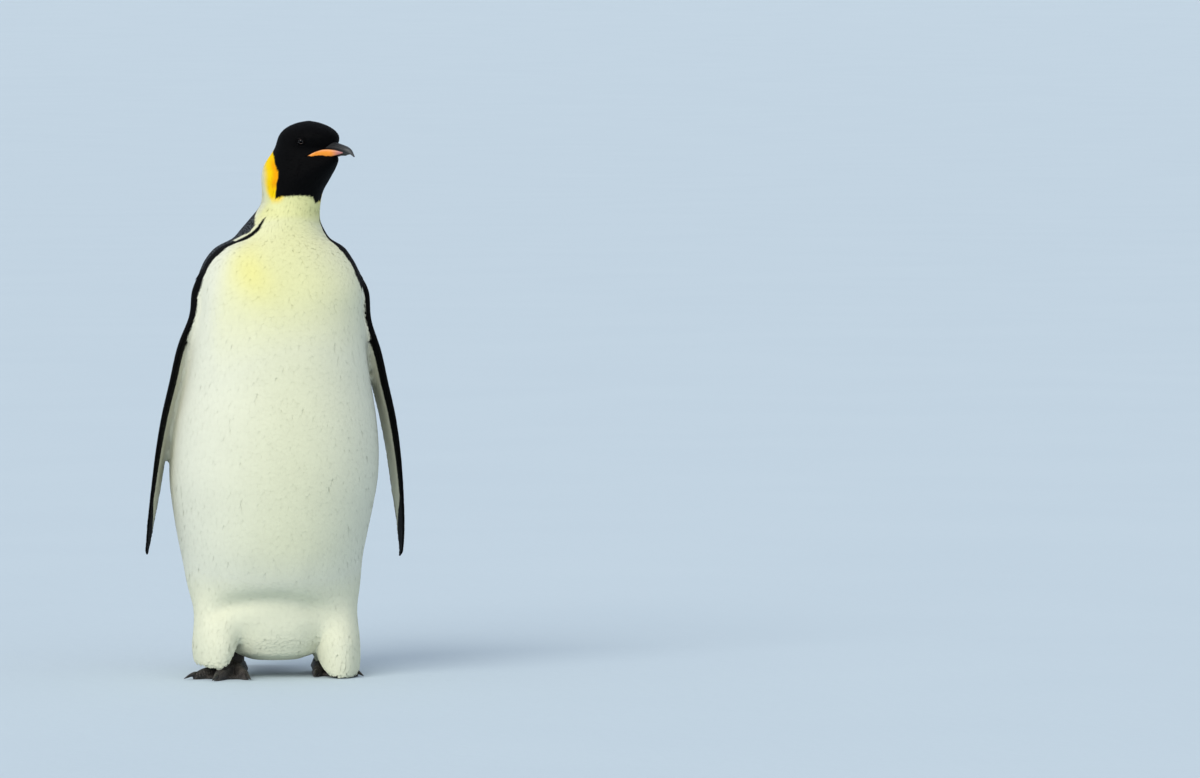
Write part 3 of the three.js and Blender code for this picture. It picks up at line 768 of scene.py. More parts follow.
levels = np.arange(0, 1020.0, 2)
girth = np.interp(levels, BODY[:, 0], BODY[:, 6])
climbed = np.cumsum(np.hypot(2.0, np.gradient(girth)))


def by_height(z, rows):
    return np.interp(z, *np.array(rows).T[:2])


def off_border(round_it, z, radius, side):
    """How far each point lies outside one border band, in mm along the body's surface."""
    across, up = np.radians(round_it) * radius, np.interp(z, levels, climbed)
    nearest = np.full(len(z), 1e9)
    for low, high in zip(BORDER[side], BORDER[side][1:]):
        start, end = side * math.radians(low[1]) * radius, side * math.radians(high[1]) * radius
        bottom, top = np.interp((low[0], high[0]), levels, climbed)
        reach, climb = end - start, top - bottom
        t = ((across - start) * reach + (up - bottom) * climb) / (reach ** 2 + climb ** 2)
        t = t.clip(0, 1)
        away = np.hypot(across - start - t * reach, up - bottom - t * climb)
        nearest = np.minimum(nearest, away - low[2] - (high[2] - low[2]) * t)
    return nearest


def markings(points):
    """The marks at each point, as shares from 0 to 1."""
    z = points[:, 2]
    round_it = bearing(points)
    wide = np.abs(round_it)
    radius = np.interp(z, BODY[:, 0], (BODY[:, 4] + BODY[:, 6]) / 2)
    right = round_it < 0

    # Black: the cloak behind its border, and the hood.
    off = np.where(right, *(off_border(round_it, z, radius, side) for side in (-1, 1)))
    low_edge = np.where(right, *(by_height(z, BORDER[side]) for side in (-1, 1)))
    mantle_edge = np.where(z < MANTLE[0][0], low_edge, by_height(z, MANTLE))
    cloak = np.maximum(rise(wide - mantle_edge, -1, 1), rise(-off, -0.7, 0.7))
    side_edge = by_height(z, HOOD_EDGE)
    hem = HOOD_HEM - HEM_ARCH * (round_it - HEM_MIDDLE) ** 2
    hem = hem - LOBE_DEPTH * hump(round_it, LOBE, LOBE_WIDTH)
    hood = rise(side_edge - wide, -0.8, 0.8) * rise(z - hem, -0.8, 0.8)
    dark = np.maximum(cloak, hood)

    # Gold and orange behind the hood, and yellow from the neck down the breast to the belly.
    behind = np.radians(wide - side_edge) * radius
    spread = by_height(z, GOLD_SPREAD)
    gold = rise(z, 862, 880) * rise(behind, 1.3 * spread, 0.55 * spread) * rise(wide, 30, 46)
    orange = rise(z, 884, 905) * rise(z, 958, 935) * rise(behind, 26, 5) * rise(behind, -6, 0)
    neck = rise(z, 800, 850) * (NECK_YELLOW - 0.5 * rise(behind, 10, 50))
    chest = rise(z, 380, 730) * (0.62 + 0.38 * rise(z, 560, 740))
    chest = chest * hump(round_it, CHEST_MIDDLE, CHEST_SPREAD)
    chest = chest * (1 - 0.7 * rise(round_it, -44, -68) * rise(z, 815, 780))
    # Painted light: within the oval the breast is a stronger yellow with a touch of gold.
    over, up = DEGREE * (round_it - PAINTED_LIGHT_BEARING), z - PAINTED_LIGHT_HEIGHT
    painted_light = hump(0.65 * over - 0.76 * up, 0, PAINTED_LIGHT_LENGTH)
    painted_light = painted_light * hump(0.76 * over + 0.65 * up, 0, PAINTED_LIGHT_WIDTH)
    belly = BELLY_YELLOW * hump(round_it, BELLY_MIDDLE, BELLY_SPREAD) * rise(z, 130, 260)
    belly = np.maximum(LEAST_YELLOW + belly, BELLY_YELLOW * rise(z, 240, 150))
    yellow = np.maximum.reduce([neck, CHEST_YELLOW * chest, belly])
    yellow = yellow + (1 - yellow) * 0.9 * painted_light
    gold = np.maximum(gold, 0.08 * painted_light)

    # Slate behind the border.
    slate = rise(off, 0, 9) * rise(z, 950, 880) * (1 - hood)
    grey = np.zeros(len(points))
    on_it = flipper_share(points) > 0
    for name, (side, *_) in FLIPPERS.items():
        share, off_middle, _, _ = in_flipper(name, points)
        mine = on_it & (points[:, 0] * side > 0)
        outer = off_middle > 0
        # A flipper is slate above, with a thin pale rear edge.
        over = 1 - 0.75 * rise(share, 0.93, 0.97) * rise(z, 260, 330) * rise(z, 630, 560)
        # Below it is white, but for a black front edge and tip.
        lead = 0.20 + 0.75 * rise(z, 330, 255) - 0.12 * rise(z, 590, 670)
        under = np.maximum(rise(share - lead, 0.02, -0.02), rise(z, 262, 246))
        under = under * rise(off_middle + by_height(z, ROOT_EDGE), -1, 1)
        dark = np.where(mine, np.where(outer, over, under), dark)
        armpit = rise(z, 595, 620) * rise(z, 760, 740) * rise(share, 0.35, 0.5)
        dark = np.where(points[:, 0] * side > 0, np.maximum(dark, armpit), dark)
        upper = 0.4 + 0.6 * rise(z, 735, 690)
        slate = np.where(mine, outer * rise(share, 0.07, 0.2) * rise(z, 250, 330) * upper, slate)
        yellow, gold, orange = (np.where(mine, value, mark) for value, mark in
                                ((0.12, yellow), (0, gold), (0, orange)))
        # Painted shade: each flipper's inner face is greyed, fully from 590 mm down.
        grey = np.where(mine & ~outer, rise(z, 660, 590), grey)
    rump = rise(z, 150, 90) * rise(points[:, 1], 60, 100)
    return {"dark": np.maximum(dark, rump), "gold": gold, "orange": orange, "yellow": yellow,
            "slate": slate * (1 - rump), "grey": grey}


def keep_marks(mesh, marks):
    for word, values in marks.items():
        kept = mesh.attributes.new(word, "FLOAT", "POINT")
        kept.data.foreach_set("value", np.asarray(values, np.float32))


CREAM = (0.715, 0.722, 0.622, 1)
SHADED = (0.52, 0.50, 0.40, 1)
PALE_YELLOW = (0.75, 0.735, 0.31, 1)
GOLD = (0.98, 0.65, 0.003, 1)
ORANGE = (0.94, 0.38, 0.003, 1)
BLACK = (0.0018, 0.0018, 0.0021, 1)
CHARCOAL = (0.020, 0.022, 0.025, 1)
BLUE_GREY_AND_SHEEN = (0.135, 0.155, 0.175, 1)


def plumage(name, roughness, barbs):
    """Feathers, coloured by their marks. Barbs run out from the shaft as fine ridges."""
    material, shader, s = finish_of(name, roughness)
    shader.inputs["Specular IOR Level"].default_value = 0.04
    along, across = s.mark("along"), s.mark("across")
    front = s.mark("yellow").between(CREAM, PALE_YELLOW)
    front = s.mark("gold").between(front, GOLD)
    front = s.mark("orange").between(front, ORANGE)
    # Painted shade, at half strength, on the inner faces of the flippers.
    front = (s.mark("grey") * 0.5).between(front, SHADED)
    slate = s.mark("slate")
    # Paler blue-grey tips on the slate: their own colour and a painted sheen.
    tips_and_sheen = slate * along.step(0.80, 1.0)
    cloak = (slate * 0.8).between(BLACK, CHARCOAL)
    cloak = tips_and_sheen.between(cloak, BLUE_GREY_AND_SHEEN)
    colour = s.mark("dark").between(front, cloak)
    uneven = s.mark("dark") * 0.05 + 0.015
    mottle = (s.noise(14.0) - 0.5) * 0.08 + s.mark("tone") * uneven + 1.0
    feed(shader, "Base Color", colour.bright(mottle))
    if barbs:
        ridge = (along * barbs - abs(across) * (barbs * 0.35)).wave()
        feed(shader, "Normal", s.lump(ridge, 0.25, 0.0002))
    return material


skin.data.materials.append(plumage("down_over_skin", 0.85, 0))
keep_marks(skin.data, markings(web.points))
skin.data.shade_smooth()
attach(skin, "root")
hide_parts("trunk", "neck", "head", "tail", "leg_right", "leg_left",
            "flipper_right", "flipper_left")

# ---- coat ------------------------------------------------------------------------------------
# Small stiff body feathers, set as evenly as scales and each overlapping the next rows down.
# They are largest on breast, belly and back, fine on the head, and finest round bill and eyes.

SEED = 20
SWING = math.radians(7)         # how unevenly the feathers point
HANG = 0.62                     # how much of a feather hangs free at the hems
SHARPEST_BEND = 0.82            # cosine of the sharpest bend a feather takes
APART = 14                      # the two faces of a flipper, while places are spaced out
BILL_CLEARANCE = 0.5
BARE_LID = 7.4                  # no feathers nearer the middle of the eye than this
UNEVEN_LENGTH = 0.10
ROOT_DEPTH, TIP_GAP = 0.25, 0.1
THINNEST_VANE = 0.1
HEAD_TURN = math.radians(42)
HEAD_AHEAD = np.array((math.sin(HEAD_TURN), -math.cos(HEAD_TURN), 0))
chance = np.random.default_rng(SEED)


def coat_at(points, flipper, near_face):
    depth, gap, length, width = (np.interp(points[:, 2], COAT[:, 0], COAT[:, column])
                                 for column in (1, 2, 3, 4))
    fine = 1 - 0.35 * near_face
    values = [depth, gap * fine, length * fine, width * fine]
    return [np.where(flipper > 0.5, special, value)
            for special, value in zip(FLIPPER_COAT, values)]


def hard_parts(*nodes):
    """Points and faces of some of the bird's own hard parts."""
    meshes = [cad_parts[node].data for node in nodes]
    return joined([(places_of(mesh), np.array([p.vertices[:] for p in mesh.polygons]))
                   for mesh in meshes])


def tree_of(points, faces):
    return BVHTree.FromPolygons(points.tolist(), faces.tolist())


for _ in range(3):
    even = unit(web.spread(skin_normals))
    skin_normals = np.where(web.points[:, 2:] < 920, even, skin_normals)
skin_tree = tree_of(web.points, web.faces)
face_normals = unit(skin_normals[web.faces].sum(1))


def settle(points):
    """The nearest points of the skin, and its outward direction there."""
    found = [skin_tree.find_nearest(point) for point in points.tolist()]
    return np.array([hit[0] for hit in found]), face_normals[[hit[2] for hit in found]]


corner = web.points[web.faces]
area = np.linalg.norm(np.cross(corner[:, 1] - corner[:, 0], corner[:, 2] - corner[:, 0]), axis=1)
middle = corner.mean(1)
BILL_BASE = np.array((62, 0, 962)) + HEAD_AHEAD * 56


def face_share(points):
    """1 beside the bill and the eyes, 0 further off."""
    close = rise(np.linalg.norm(points - BILL_BASE, axis=1), 42, 22)
    for name in EYES:
        close = np.maximum(close, rise(np.linalg.norm(points - EYES[name][0], axis=1), 24, 15))
    return close


on_flipper = flipper_share(middle)
gap = coat_at(middle, on_flipper, face_share(middle))[1]
weight = area / gap ** 2
CROWDING = 1.7                  # trial places for each square of the spacing
picked = chance.choice(len(weight), int(CROWDING * weight.sum()), p=weight / weight.sum())
split = np.sort(chance.random((len(picked), 2)), axis=1)
mix = np.stack([split[:, 0], split[:, 1] - split[:, 0], 1 - split[:, 1]], -1)[:, :, None]
roots = (corner[picked] * mix).sum(1)
root_normals = unit((skin_normals[web.faces[picked]] * mix).sum(1))
on_flipper = on_flipper[picked]
gap = coat_at(roots, on_flipper, face_share(roots))[1]

# Both faces of a flipper are moved apart while the places are thinned out to an even spacing.
spread_out = roots + root_normals * (APART * on_flipper)[:, None]
tree = KDTree(len(roots))
for index, place in enumerate(spread_out.tolist()):
    tree.insert(place, index)
tree.balance()
taken = np.zeros(len(roots), bool)
kept = []
for index, place in enumerate(spread_out.tolist()):
    if not taken[index]:
        kept.append(index)
        for _, other, _ in tree.find_range(place, gap[index]):
            taken[other] = True
kept = np.array(kept)

hard = tree_of(*hard_parts("bill_upper", "bill_lower", "bill_plate_right", "bill_plate_left"))
bare = np.zeros(len(kept), bool)
for place, index in enumerate(kept):
    if roots[index, 2] > 930:
        spot, facing, _, distance = hard.find_nearest(roots[index])
        inside = (Vector(roots[index]) - spot).dot(facing) < 0
        bare[place] = inside or distance < BILL_CLEARANCE
for name in EYES:
    reach, height = about_eye(name, roots[kept])
    bare |= (reach < BARE_LID) & (height > 0)
kept = kept[~bare]
roots, root_normals, on_flipper = roots[kept], root_normals[kept], on_flipper[kept]
near_face = face_share(roots)
depth, gap, length, width = coat_at(roots, on_flipper, near_face)
count = len(roots)
length = length * (1 + UNEVEN_LENGTH * chance.standard_normal(count).clip(-2, 2))
for name in FLIPPERS:
    share = in_flipper(name, roots)[0]
    mine = (on_flipper > 0.5) & (roots[:, 0] * FLIPPERS[name][0] > 0)
    length = np.where(mine, length * (1 - 0.45 * rise(share, 0.82, 0.95)), length)
tone = chance.uniform(-1, 1, count)

# The lie of the coat: down the body, back from the bill, out along the flippers and tail.
back, high = roots[:, 1], roots[:, 2]
lie = np.tile((0.0, 0.0, -1.0), (count, 1))
on_head = rise(high, 905, 962)[:, None]
lie = lie * (1 - 0.62 * on_head) - HEAD_AHEAD * on_head
lie[:, 1] += 0.6 * rise(high, 100, 45)                          # back under the body
lie[:, 1] += 0.8 * rise(back, 95, 130) * rise(high, 200, 140)   # out over the tail
lie[:, 1] += 0.12 * on_flipper                                  # and to the rear edge
lie -= root_normals * (lie * root_normals).sum(1, keepdims=True)
lie = unit(lie)
swing = chance.normal(0, SWING, count)[:, None]
lie = lie * np.cos(swing) + np.cross(root_normals, lie) * np.sin(swing)
halfway, halfway_normals = settle(roots + lie * (length / 2)[:, None])
onward = halfway - roots
onward -= halfway_normals * (onward * halfway_normals).sum(1, keepdims=True)
ends, end_normals = settle(halfway + unit(onward) * (length / 2)[:, None])

# At the hems of the legs and the apron they hang free as a short fringe. In sharp creases,
# in the armpits and beside the eyes the skin's own down shows.
wraps = (high < 90) & (root_normals[:, 2] > -0.75) & (end_normals[:, 2] < -0.35)
wraps &= on_flipper < 0.5
hang = lie * (HANG * length)[:, None]
for target, share in ((halfway, 0.5), (ends, 1.0)):
    target[wraps] = (roots + hang * share)[wraps]
    target[wraps, 2] = target[wraps, 2].clip(1.2)
halfway_normals[wraps] = root_normals[wraps]
end_normals[wraps] = root_normals[wraps]
bends = np.minimum((root_normals * halfway_normals).sum(1),
                   (halfway_normals * end_normals).sum(1))
tucked = (bends < SHARPEST_BEND) | (np.linalg.norm(ends - roots, axis=1) < 0.7 * length)
by_wing = (np.abs(roots[:, 0]) > 105) & (np.abs(high - 590) < 190)
by_eye = np.min([np.linalg.norm(roots - EYES[name][0], axis=1) for name in EYES], axis=0) < 17
tucked &= (((high < 240) & (on_flipper < 0.5)) | by_wing | by_eye) & ~wraps


def on_skin_map(points, flipper):
    """Each point's place on a flat layout of the skin: body, flippers and legs side by side."""
    u = 0.02 + 0.58 * (bearing(points) + 180) / 360
    v = 0.02 + 0.95 * points[:, 2] / 1018
    for column, name in enumerate(FLIPPERS):
        share, off, _, _ = in_flipper(name, points)
        mine = (flipper > 0.5) & (points[:, 0] * FLIPPERS[name][0] > 0)
        lane = 0.63 + 0.18 * column + 0.09 * (off > 0)
        u = np.where(mine, lane + 0.07 * share.clip(0, 1), u)
    for column, name in enumerate(LEGS):
        side, out = LEGS[name][:2]
        mine = (flipper < 0.5) & (points[:, 2] < 150) & (points[:, 0] * side > out - 38)
        turn = np.arctan2(points[:, 0] - side * out, -38 - points[:, 1]) / (2 * math.pi)
        u = np.where(mine, 0.72 + 0.17 * column + 0.075 * turn * 2, u)
        v = np.where(mine, 0.01 + 0.16 * points[:, 2] / 150, v)
    return np.stack([u, v], -1)


def vane_faces(stations):
    """Triangles of a closed vane: crowned above, flat below, over its stations and a tip."""
    faces = [(0, 2, 1)]
    for a in range(0, 3 * (stations - 1), 3):
        faces += [(a, a + 1, a + 4), (a, a + 4, a + 3), (a + 1, a + 2, a + 5),
                  (a + 1, a + 5, a + 4), (a, a + 3, a + 5), (a, a + 5, a + 2)]
    a = 3 * (stations - 1)
    return np.array(faces + [(a, a + 1, a + 3), (a + 1, a + 2, a + 3), (a, a + 3, a + 2)])


PATCH = 0.003                   # one vane's place on that layout


def vanes(name, spine, out, half, crown, round_off, along, marks, crisp, places, material, slot):
    """One mesh of many vanes. Spine and out are (vane, station, 3); the last is the tip.

    A vane has one colour, but a crisp one is marked point by point.
    """
    many, stations = half.shape
    run = unit(spine[:, -1:] - spine[:, :1])
    across = unit(np.cross(run, out))
    side = across[:, :-1] * half[:, :, None]
    left, right = spine[:, :-1] - side, spine[:, :-1] + side
    ridge = spine[:, :-1] + out[:, :-1] * crown[:, :, None]
    body = np.stack([left, ridge, right], 2).reshape(many, -1, 3)
    points = np.concatenate([body, spine[:, -1:]], 1)
    tilt = across[:, :-1] * round_off
    facing = np.stack([out[:, :-1] - tilt, out[:, :-1], out[:, :-1] + tilt], 2)
    facing = unit(np.concatenate([facing.reshape(many, -1, 3), out[:, -1:]], 1))
    each = 3 * stations + 1
    plan = vane_faces(stations)
    faces = (plan[None] + (np.arange(many) * each)[:, None, None]).reshape(-1, 3)
    piece = made(name, points.reshape(-1, 3), faces, material, slot)
    mesh = piece.data
    corners = facing[:, plan]
    corners[:, (plan % 3 != 1).all(1)] *= -1            # the flat undersides face inwards
    mesh.normals_split_custom_set(corners.reshape(-1, 3).tolist())

    steps = np.tile(np.append(np.repeat(along[:-1], 3), along[-1]), many)
    sides = np.tile([-1.0, 0.0, 1.0] * stations + [0.0], many)
    exact = markings(points.reshape(-1, 3)) if crisp.any() else marks
    crisp = np.repeat(crisp, each)
    for word, values in marks.items():
        values = np.repeat(values, each)
        if crisp.any() and word in exact:
            values = np.where(crisp, exact[word], values)
        keep_marks(mesh, {word: values})
    keep_marks(mesh, {"along": steps, "across": sides})
    patch = np.stack([sides * PATCH / 2, (0.5 - steps) * PATCH], -1)
    flat = np.repeat(places, each, 0) + patch
    layer = mesh.uv_layers.new(name="OFBake")
    layer.data.foreach_set("uv", flat[faces.ravel()].astype(np.float32).ravel())
    return piece


CRISP_ABOVE = 690               # from here up the edges of the markings are fine lines


def feathers(name, chosen, along, shape, round_off, arch, press, material, slot):
    """The chosen places' vanes, bent to the skin and lifted to the coat's outer surface."""
    t = np.array(along)[None, :, None]
    weights = (2 * (t - 0.5) * (t - 1), 4 * t * (1 - t), 2 * t * (t - 0.5))
    pick = [set_[chosen][:, None] for set_ in (roots, halfway, ends)]
    spine = sum(w * p for w, p in zip(weights, pick))
    pick = [set_[chosen][:, None] for set_ in (root_normals, halfway_normals, end_normals)]
    out = unit(sum(w * p for w, p in zip(weights, pick)))
    climb = t[:, :, 0] * (1 + press - press * t[:, :, 0])
    lift = (depth[chosen, None] - TIP_GAP) * climb - ROOT_DEPTH
    spine = spine + out * lift[:, :, None]
    half = width[chosen, None] / 2 * np.array(shape)[None]
    marks = {word: values[chosen] for word, values in coat_marks.items()}
    marks["tone"] = tone[chosen]
    crisp = (roots[chosen, 2] > CRISP_ABOVE) & (on_flipper[chosen] < 0.5)
    crown = half * arch + THINNEST_VANE
    return vanes(name, spine, out, half, crown, round_off, np.array(along), marks, crisp,
                 skin_map[chosen], material, slot)


shown_at = roots * 0.25 + ends * 0.75
coat_marks = markings(shown_at)
skin_map = on_skin_map(roots, on_flipper)
body_finish = plumage("body_feathers", 0.62, 110.0)
LONG = ((0, 0.4, 0.75, 0.93, 1), (0.5, 1, 0.94, 0.58))
SHORT = ((0, 0.5, 0.86, 1), (0.6, 1, 0.7))
TINY = ((0, 0.7, 1), (0.7, 1))
cloaked = coat_marks["dark"] > 0.5
fair = (LONG, 0.03, 0.02, 1.3, "plumage")
black = (LONG, 0.35, 0.12, 0.3, "black_plumage")
groups = {        # which of them, heights from and to, form, rounding, arch, press, slot
    "breast_feathers": (~cloaked, 480, 850, *fair),
    "belly_feathers": (~cloaked, 230, 480, *fair),
    "leg_feathers": (~cloaked, 0, 230, *fair),
    "mantle_feathers": (cloaked, 440, 850, *black),
    "rump_feathers": (cloaked, 0, 440, *black),
    "neck_feathers": (True, 850, 905, SHORT, 0.08, 0.05, 1.3, "plumage"),
    "head_feathers": (True, 905, 1100, SHORT, 0.15, 0.07, 1.0, "black_plumage"),
}
for name, (sort, bottom, top, (along, shape), round_off, arch, press, slot) in groups.items():
    chosen = (on_flipper < 0.5) & sort & (high >= bottom) & (high < top) & ~tucked
    feathers(name, chosen, along, shape, round_off, arch, press, body_finish, slot)
flipper_finish = plumage("flipper_feathers", 0.55, 0)
for name, (side, *_) in FLIPPERS.items():
    chosen = (on_flipper > 0.5) & (roots[:, 0] * side > 0) & ~tucked
    feathers("flipper_feathers_" + name, chosen, *TINY, 0.3, 0.14, 0.3, flipper_finish,
             "flipper")

# ---- tail ------------------------------------------------------------------------------------
# Stiff black tail feathers, fanned out over the wedge of the tail in two layers. Each has a
# straight shaft, and the outer ones are shorter.

TAIL_FEATHERS = 17
TAIL_WIDTH = 5.4                # half-width of one feather
TAIL_FAN = 0.93                 # how much of the tail's width their shafts span
SHAFT = 0.4                     # how far the lower row's shafts stand off the skin
tail_finish = plumage("tail_feathers", 0.45, 160.0)
steps = np.linspace(0, 1, 9)
tail_marks = {"dark": 1.0, "gold": 0.0, "orange": 0.0, "yellow": 0.0, "slate": 0.12, "grey": 0.0}
fan = np.linspace(-TAIL_FAN, TAIL_FAN, TAIL_FEATHERS)
over = np.arange(TAIL_FEATHERS) % 2
for name, face in (("tail_feathers_above", 1), ("tail_feathers_below", -1)):
    start = 0.30 + 0.10 * np.abs(fan) if face > 0 else 0.52 + 0.05 * np.abs(fan)
    end = 0.995 - 0.13 * fan ** 2
    share = start[:, None] + (end - start)[:, None] * steps[None]
    height, back, half, thick = smooth(TAIL, share)
    across = fan[:, None] * (half - 1.5)
    swell = np.sqrt(1 - fan[:, None] ** 2)
    lift = face * thick * swell + face * (over[:, None] + SHAFT) * (1 - 0.5 * steps)
    lift = lift - TAIL_ARCH * across ** 2
    spine = np.stack([TAIL_X + across, back + lift * math.sin(TAIL_LEAN),
                      height + lift * math.cos(TAIL_LEAN)], -1)
    lean = np.arctan2(across, 60.0) * 0.8
    out = np.stack([np.sin(lean), np.cos(lean) * math.sin(TAIL_LEAN) * face,
                    np.cos(lean) * math.cos(TAIL_LEAN) * face], -1)
    wide = TAIL_WIDTH * np.interp(steps[:-1], [0, 0.3, 0.8, 0.92], [0.6, 1, 1, 0.65])
    wide = np.tile(wide, (TAIL_FEATHERS, 1))
    marks = {word: np.full(TAIL_FEATHERS, value) for word, value in tail_marks.items()}
    marks["tone"] = chance.uniform(-1, 1, TAIL_FEATHERS)
    root = spine[:, 0]
    vanes(name, spine, unit(out), wide, 0.18 * wide + 0.2, 0.3, steps, marks,
          np.zeros(TAIL_FEATHERS, bool), on_skin_map(root, np.zeros(TAIL_FEATHERS)),
          tail_finish, "black_plumage")

# ---- bill ------------------------------------------------------------------------------------
# A slim horny bill in two halves that meet along a gently drooping line. The upper half carries
# a groove from the nostril, arches over to a hooked tip, and overhangs the lower half.

# Distance ahead of the head's axis, height of the mouth line, rise above it, depth below it,
# half-width.
BILL = np.array([
    [46, 963.5, 16.5, 13, 17.5],
    [54, 966, 14, 14.5, 14.5],
    [70, 966, 11, 12.5, 11],
    [84, 963, 10.3, 9, 8.4],
    [95, 960, 9.6, 6, 6.4],
    [102, 957, 7.6, 3.6, 4.5],
    [109, 951.8, 1.8, 1, 1.6],
])
LOWER_BILL_END = 101
BILL_START, BILL_FULLNESS = 44, 0.8
BILL_GRID = (84, 40, 12)        # stations along, places round, places across the flat side
LIP = 0.2                       # half the gap between the closed halves
GROOVE_DEPTH, GROOVE_RISE, GROOVE_WIDTH = 0.7, 0.62, 0.10
NOSTRIL, NOSTRIL_LENGTH, NOSTRIL_RISE, NOSTRIL_WIDTH, NOSTRIL_DEPTH = 66, 3.2, 0.60, 0.09, 0.9
HEAD_LEFT = np.array((math.cos(HEAD_TURN), math.sin(HEAD_TURN), 0))
HEAD_AXIS = np.array((62, 0, 0))


def head_points(ahead, left, height):
    """Places given by distance ahead of the head's axis, to its left, and height."""
    x, y = (HEAD_AXIS[axis] + ahead * HEAD_AHEAD[axis] + left * HEAD_LEFT[axis]
            for axis in (0, 1))
    return x, y, height


def bill_half(end, upper):
    along, round_it, flat = BILL_GRID
    ahead = np.linspace(BILL_START, end, along)[:, None]
    mouth, above, below, half = smooth(BILL, ahead)
    point = 1 if upper else ((end - ahead) / 16 + 0.2).clip(0, 1) ** 0.8
    around = np.linspace(0, math.pi, round_it)[None, :]
    lift = np.sin(around) ** BILL_FULLNESS
    side = half * point * np.cos(around)
    if upper:
        along_groove = rise(ahead, 56, 62) * rise(ahead, 97, 86)
        groove = hump(lift, GROOVE_RISE, GROOVE_WIDTH) * along_groove
        nostril = hump(ahead, NOSTRIL, NOSTRIL_LENGTH) * hump(lift, NOSTRIL_RISE, NOSTRIL_WIDTH)
        side = side * (1 - (GROOVE_DEPTH * groove + NOSTRIL_DEPTH * nostril) / half)
        height = mouth + LIP + above * lift
    else:
        height = mouth - LIP - below * point * lift
    hollow = np.linspace(1, -1, flat)[None, 1:-1]
    flat_side = half * point * -hollow
    flat_height = mouth + (LIP if upper else -LIP) + 0 * hollow
    side, height = np.hstack([side, flat_side]), np.hstack([height, flat_height])
    points, faces = loft(*head_points(ahead, side, height))
    return points, faces if upper else faces[:, ::-1]


def place_marks(piece, **marks):
    keep_marks(piece.data, marks)
    return piece


def ahead_of_head(piece):
    return (places_of(piece.data) - HEAD_AXIS) @ HEAD_AHEAD


horn, horn_shader, s = finish_of("bill_horn", 0.34, Specular_IOR_Level=0.28)
grain = s.noise(260.0, 4.0)
tip = s.mark("ahead").step(84.0, 106.0)
# Painted highlight: pale grey mottling towards the front, a painted glint on the culmen.
ridge = s.mark("ahead").step(70.0, 100.0) * s.noise(90.0)
horn_colour = tip.between((0.005, 0.005, 0.0055, 1), (0.042, 0.047, 0.049, 1))
horn_colour = (ridge * 0.35).between(horn_colour, (0.12, 0.12, 0.115, 1))
feed(horn_shader, "Base Color", horn_colour.bright(grain * 0.5 + 0.75))
feed(horn_shader, "Roughness", grain * 0.15 + 0.58 - s.mark("ahead").step(62.0, 78.0) * 0.32)
feed(horn_shader, "Normal", s.lump(grain, 0.25, 0.0004))
for name, end, upper in (("bill_upper", BILL[-1, 0], True), ("bill_lower", LOWER_BILL_END, False)):
    half = made(name + "_horn", *bill_half(end, upper), horn, "bill", (name,))
    place_marks(half, ahead=ahead_of_head(half))

# The plate along each side of the lower bill: a smooth slip of horn, orange at the cheek and
# pinkish mauve towards the tip, let into the bill and the feathers.

# Distance ahead of the head's axis, out from the bill's middle, top edge, bottom edge.
PLATE = np.array([
    [21, 43.6, 949, 946.6],
    [30, 39, 954, 948.4],
    [38, 33.8, 959.4, 949.8],
    [46, 27.2, 963.4, 950.6],
    [54, 21.7, 965.6, 951.4],
    [67, 14.5, 965.2, 953.2],
    [80, 10.1, 962.8, 956.4],
    [88, 8.2, 960.6, 958.8],
])
PLATE_DEPTH, PLATE_GRID = 4.2, (60, 28)
plate_finish, plate_shader, s = finish_of("bill_plate", 0.30, Coat_Weight=0.12,
                                          Coat_Roughness=0.25)
front = s.mark("ahead").step(62.0, 82.0)
rim = s.mark("rim")
plate_colour = front.between((0.88, 0.28, 0.006, 1), (0.42, 0.165, 0.155, 1))
plate_colour = (rim * 0.7).between(plate_colour, (0.16, 0.055, 0.030, 1))
feed(plate_shader, "Base Color", plate_colour.bright(s.noise(120.0) * 0.35 + 0.82))
feed(plate_shader, "Normal", s.lump(s.noise(500.0), 0.2, 0.0002))
for name, side in (("right", -1), ("left", 1)):
    ahead = np.linspace(PLATE[0, 0], PLATE[-1, 0], PLATE_GRID[0])[:, None]
    out, top, bottom = smooth(PLATE, ahead)
    turn = circle(PLATE_GRID[1])[None, :]
    shape = np.sign(np.cos(turn)) * np.abs(np.cos(turn)) ** 0.8
    depth_in = out - PLATE_DEPTH / 2 + PLATE_DEPTH / 2 * shape
    height = (top + bottom) / 2 + (top - bottom) / 2 * np.sin(turn)
    points, faces = loft(*head_points(ahead, side * depth_in, height))
    plate = made("plate_" + name, points, faces if side < 0 else faces[:, ::-1],
                 plate_finish, "bill_plate", ("bill_plate_" + name,))
    rim_share = np.broadcast_to(np.abs(np.sin(turn)) ** 6, PLATE_GRID).ravel()
    place_marks(plate, ahead=ahead_of_head(plate), rim=np.append(rim_share, (1, 1)))

# ---- eyes ------------------------------------------------------------------------------------
# A dark brown eye: the ball with a sunk iris and an open pupil, under a clear domed cornea.

IRIS_REACH, PUPIL_REACH = 5.3, 2.5
CORNEA_BULGE = 0.5
eye_ball, ball_shader, s = finish_of("eyeball", 0.45, Specular_IOR_Level=0.1)
reach = s.mark("reach")
fibres = (s.mark("turn") * 46.0).wave() * 0.5 + s.noise(900.0)
iris = (fibres * 0.4).between((0.012, 0.005, 0.0025, 1), (0.034, 0.013, 0.006, 1))
iris = reach.step(4.3, 5.2).between(iris, (0.004, 0.003, 0.0025, 1))
iris = reach.step(PUPIL_REACH + 0.15, PUPIL_REACH - 0.15).between(iris, (0.001, 0.001, 0.001, 1))
feed(ball_shader, "Base Color", reach.step(5.3, 5.9).between(iris, (0.008, 0.007, 0.007, 1)))
cornea, cornea_shader, s = finish_of("cornea", 0.03, Transmission_Weight=1.0, IOR=1.18)
feed(cornea_shader, "Normal", s.lump(s.noise(700.0), 0.05, 0.0001))


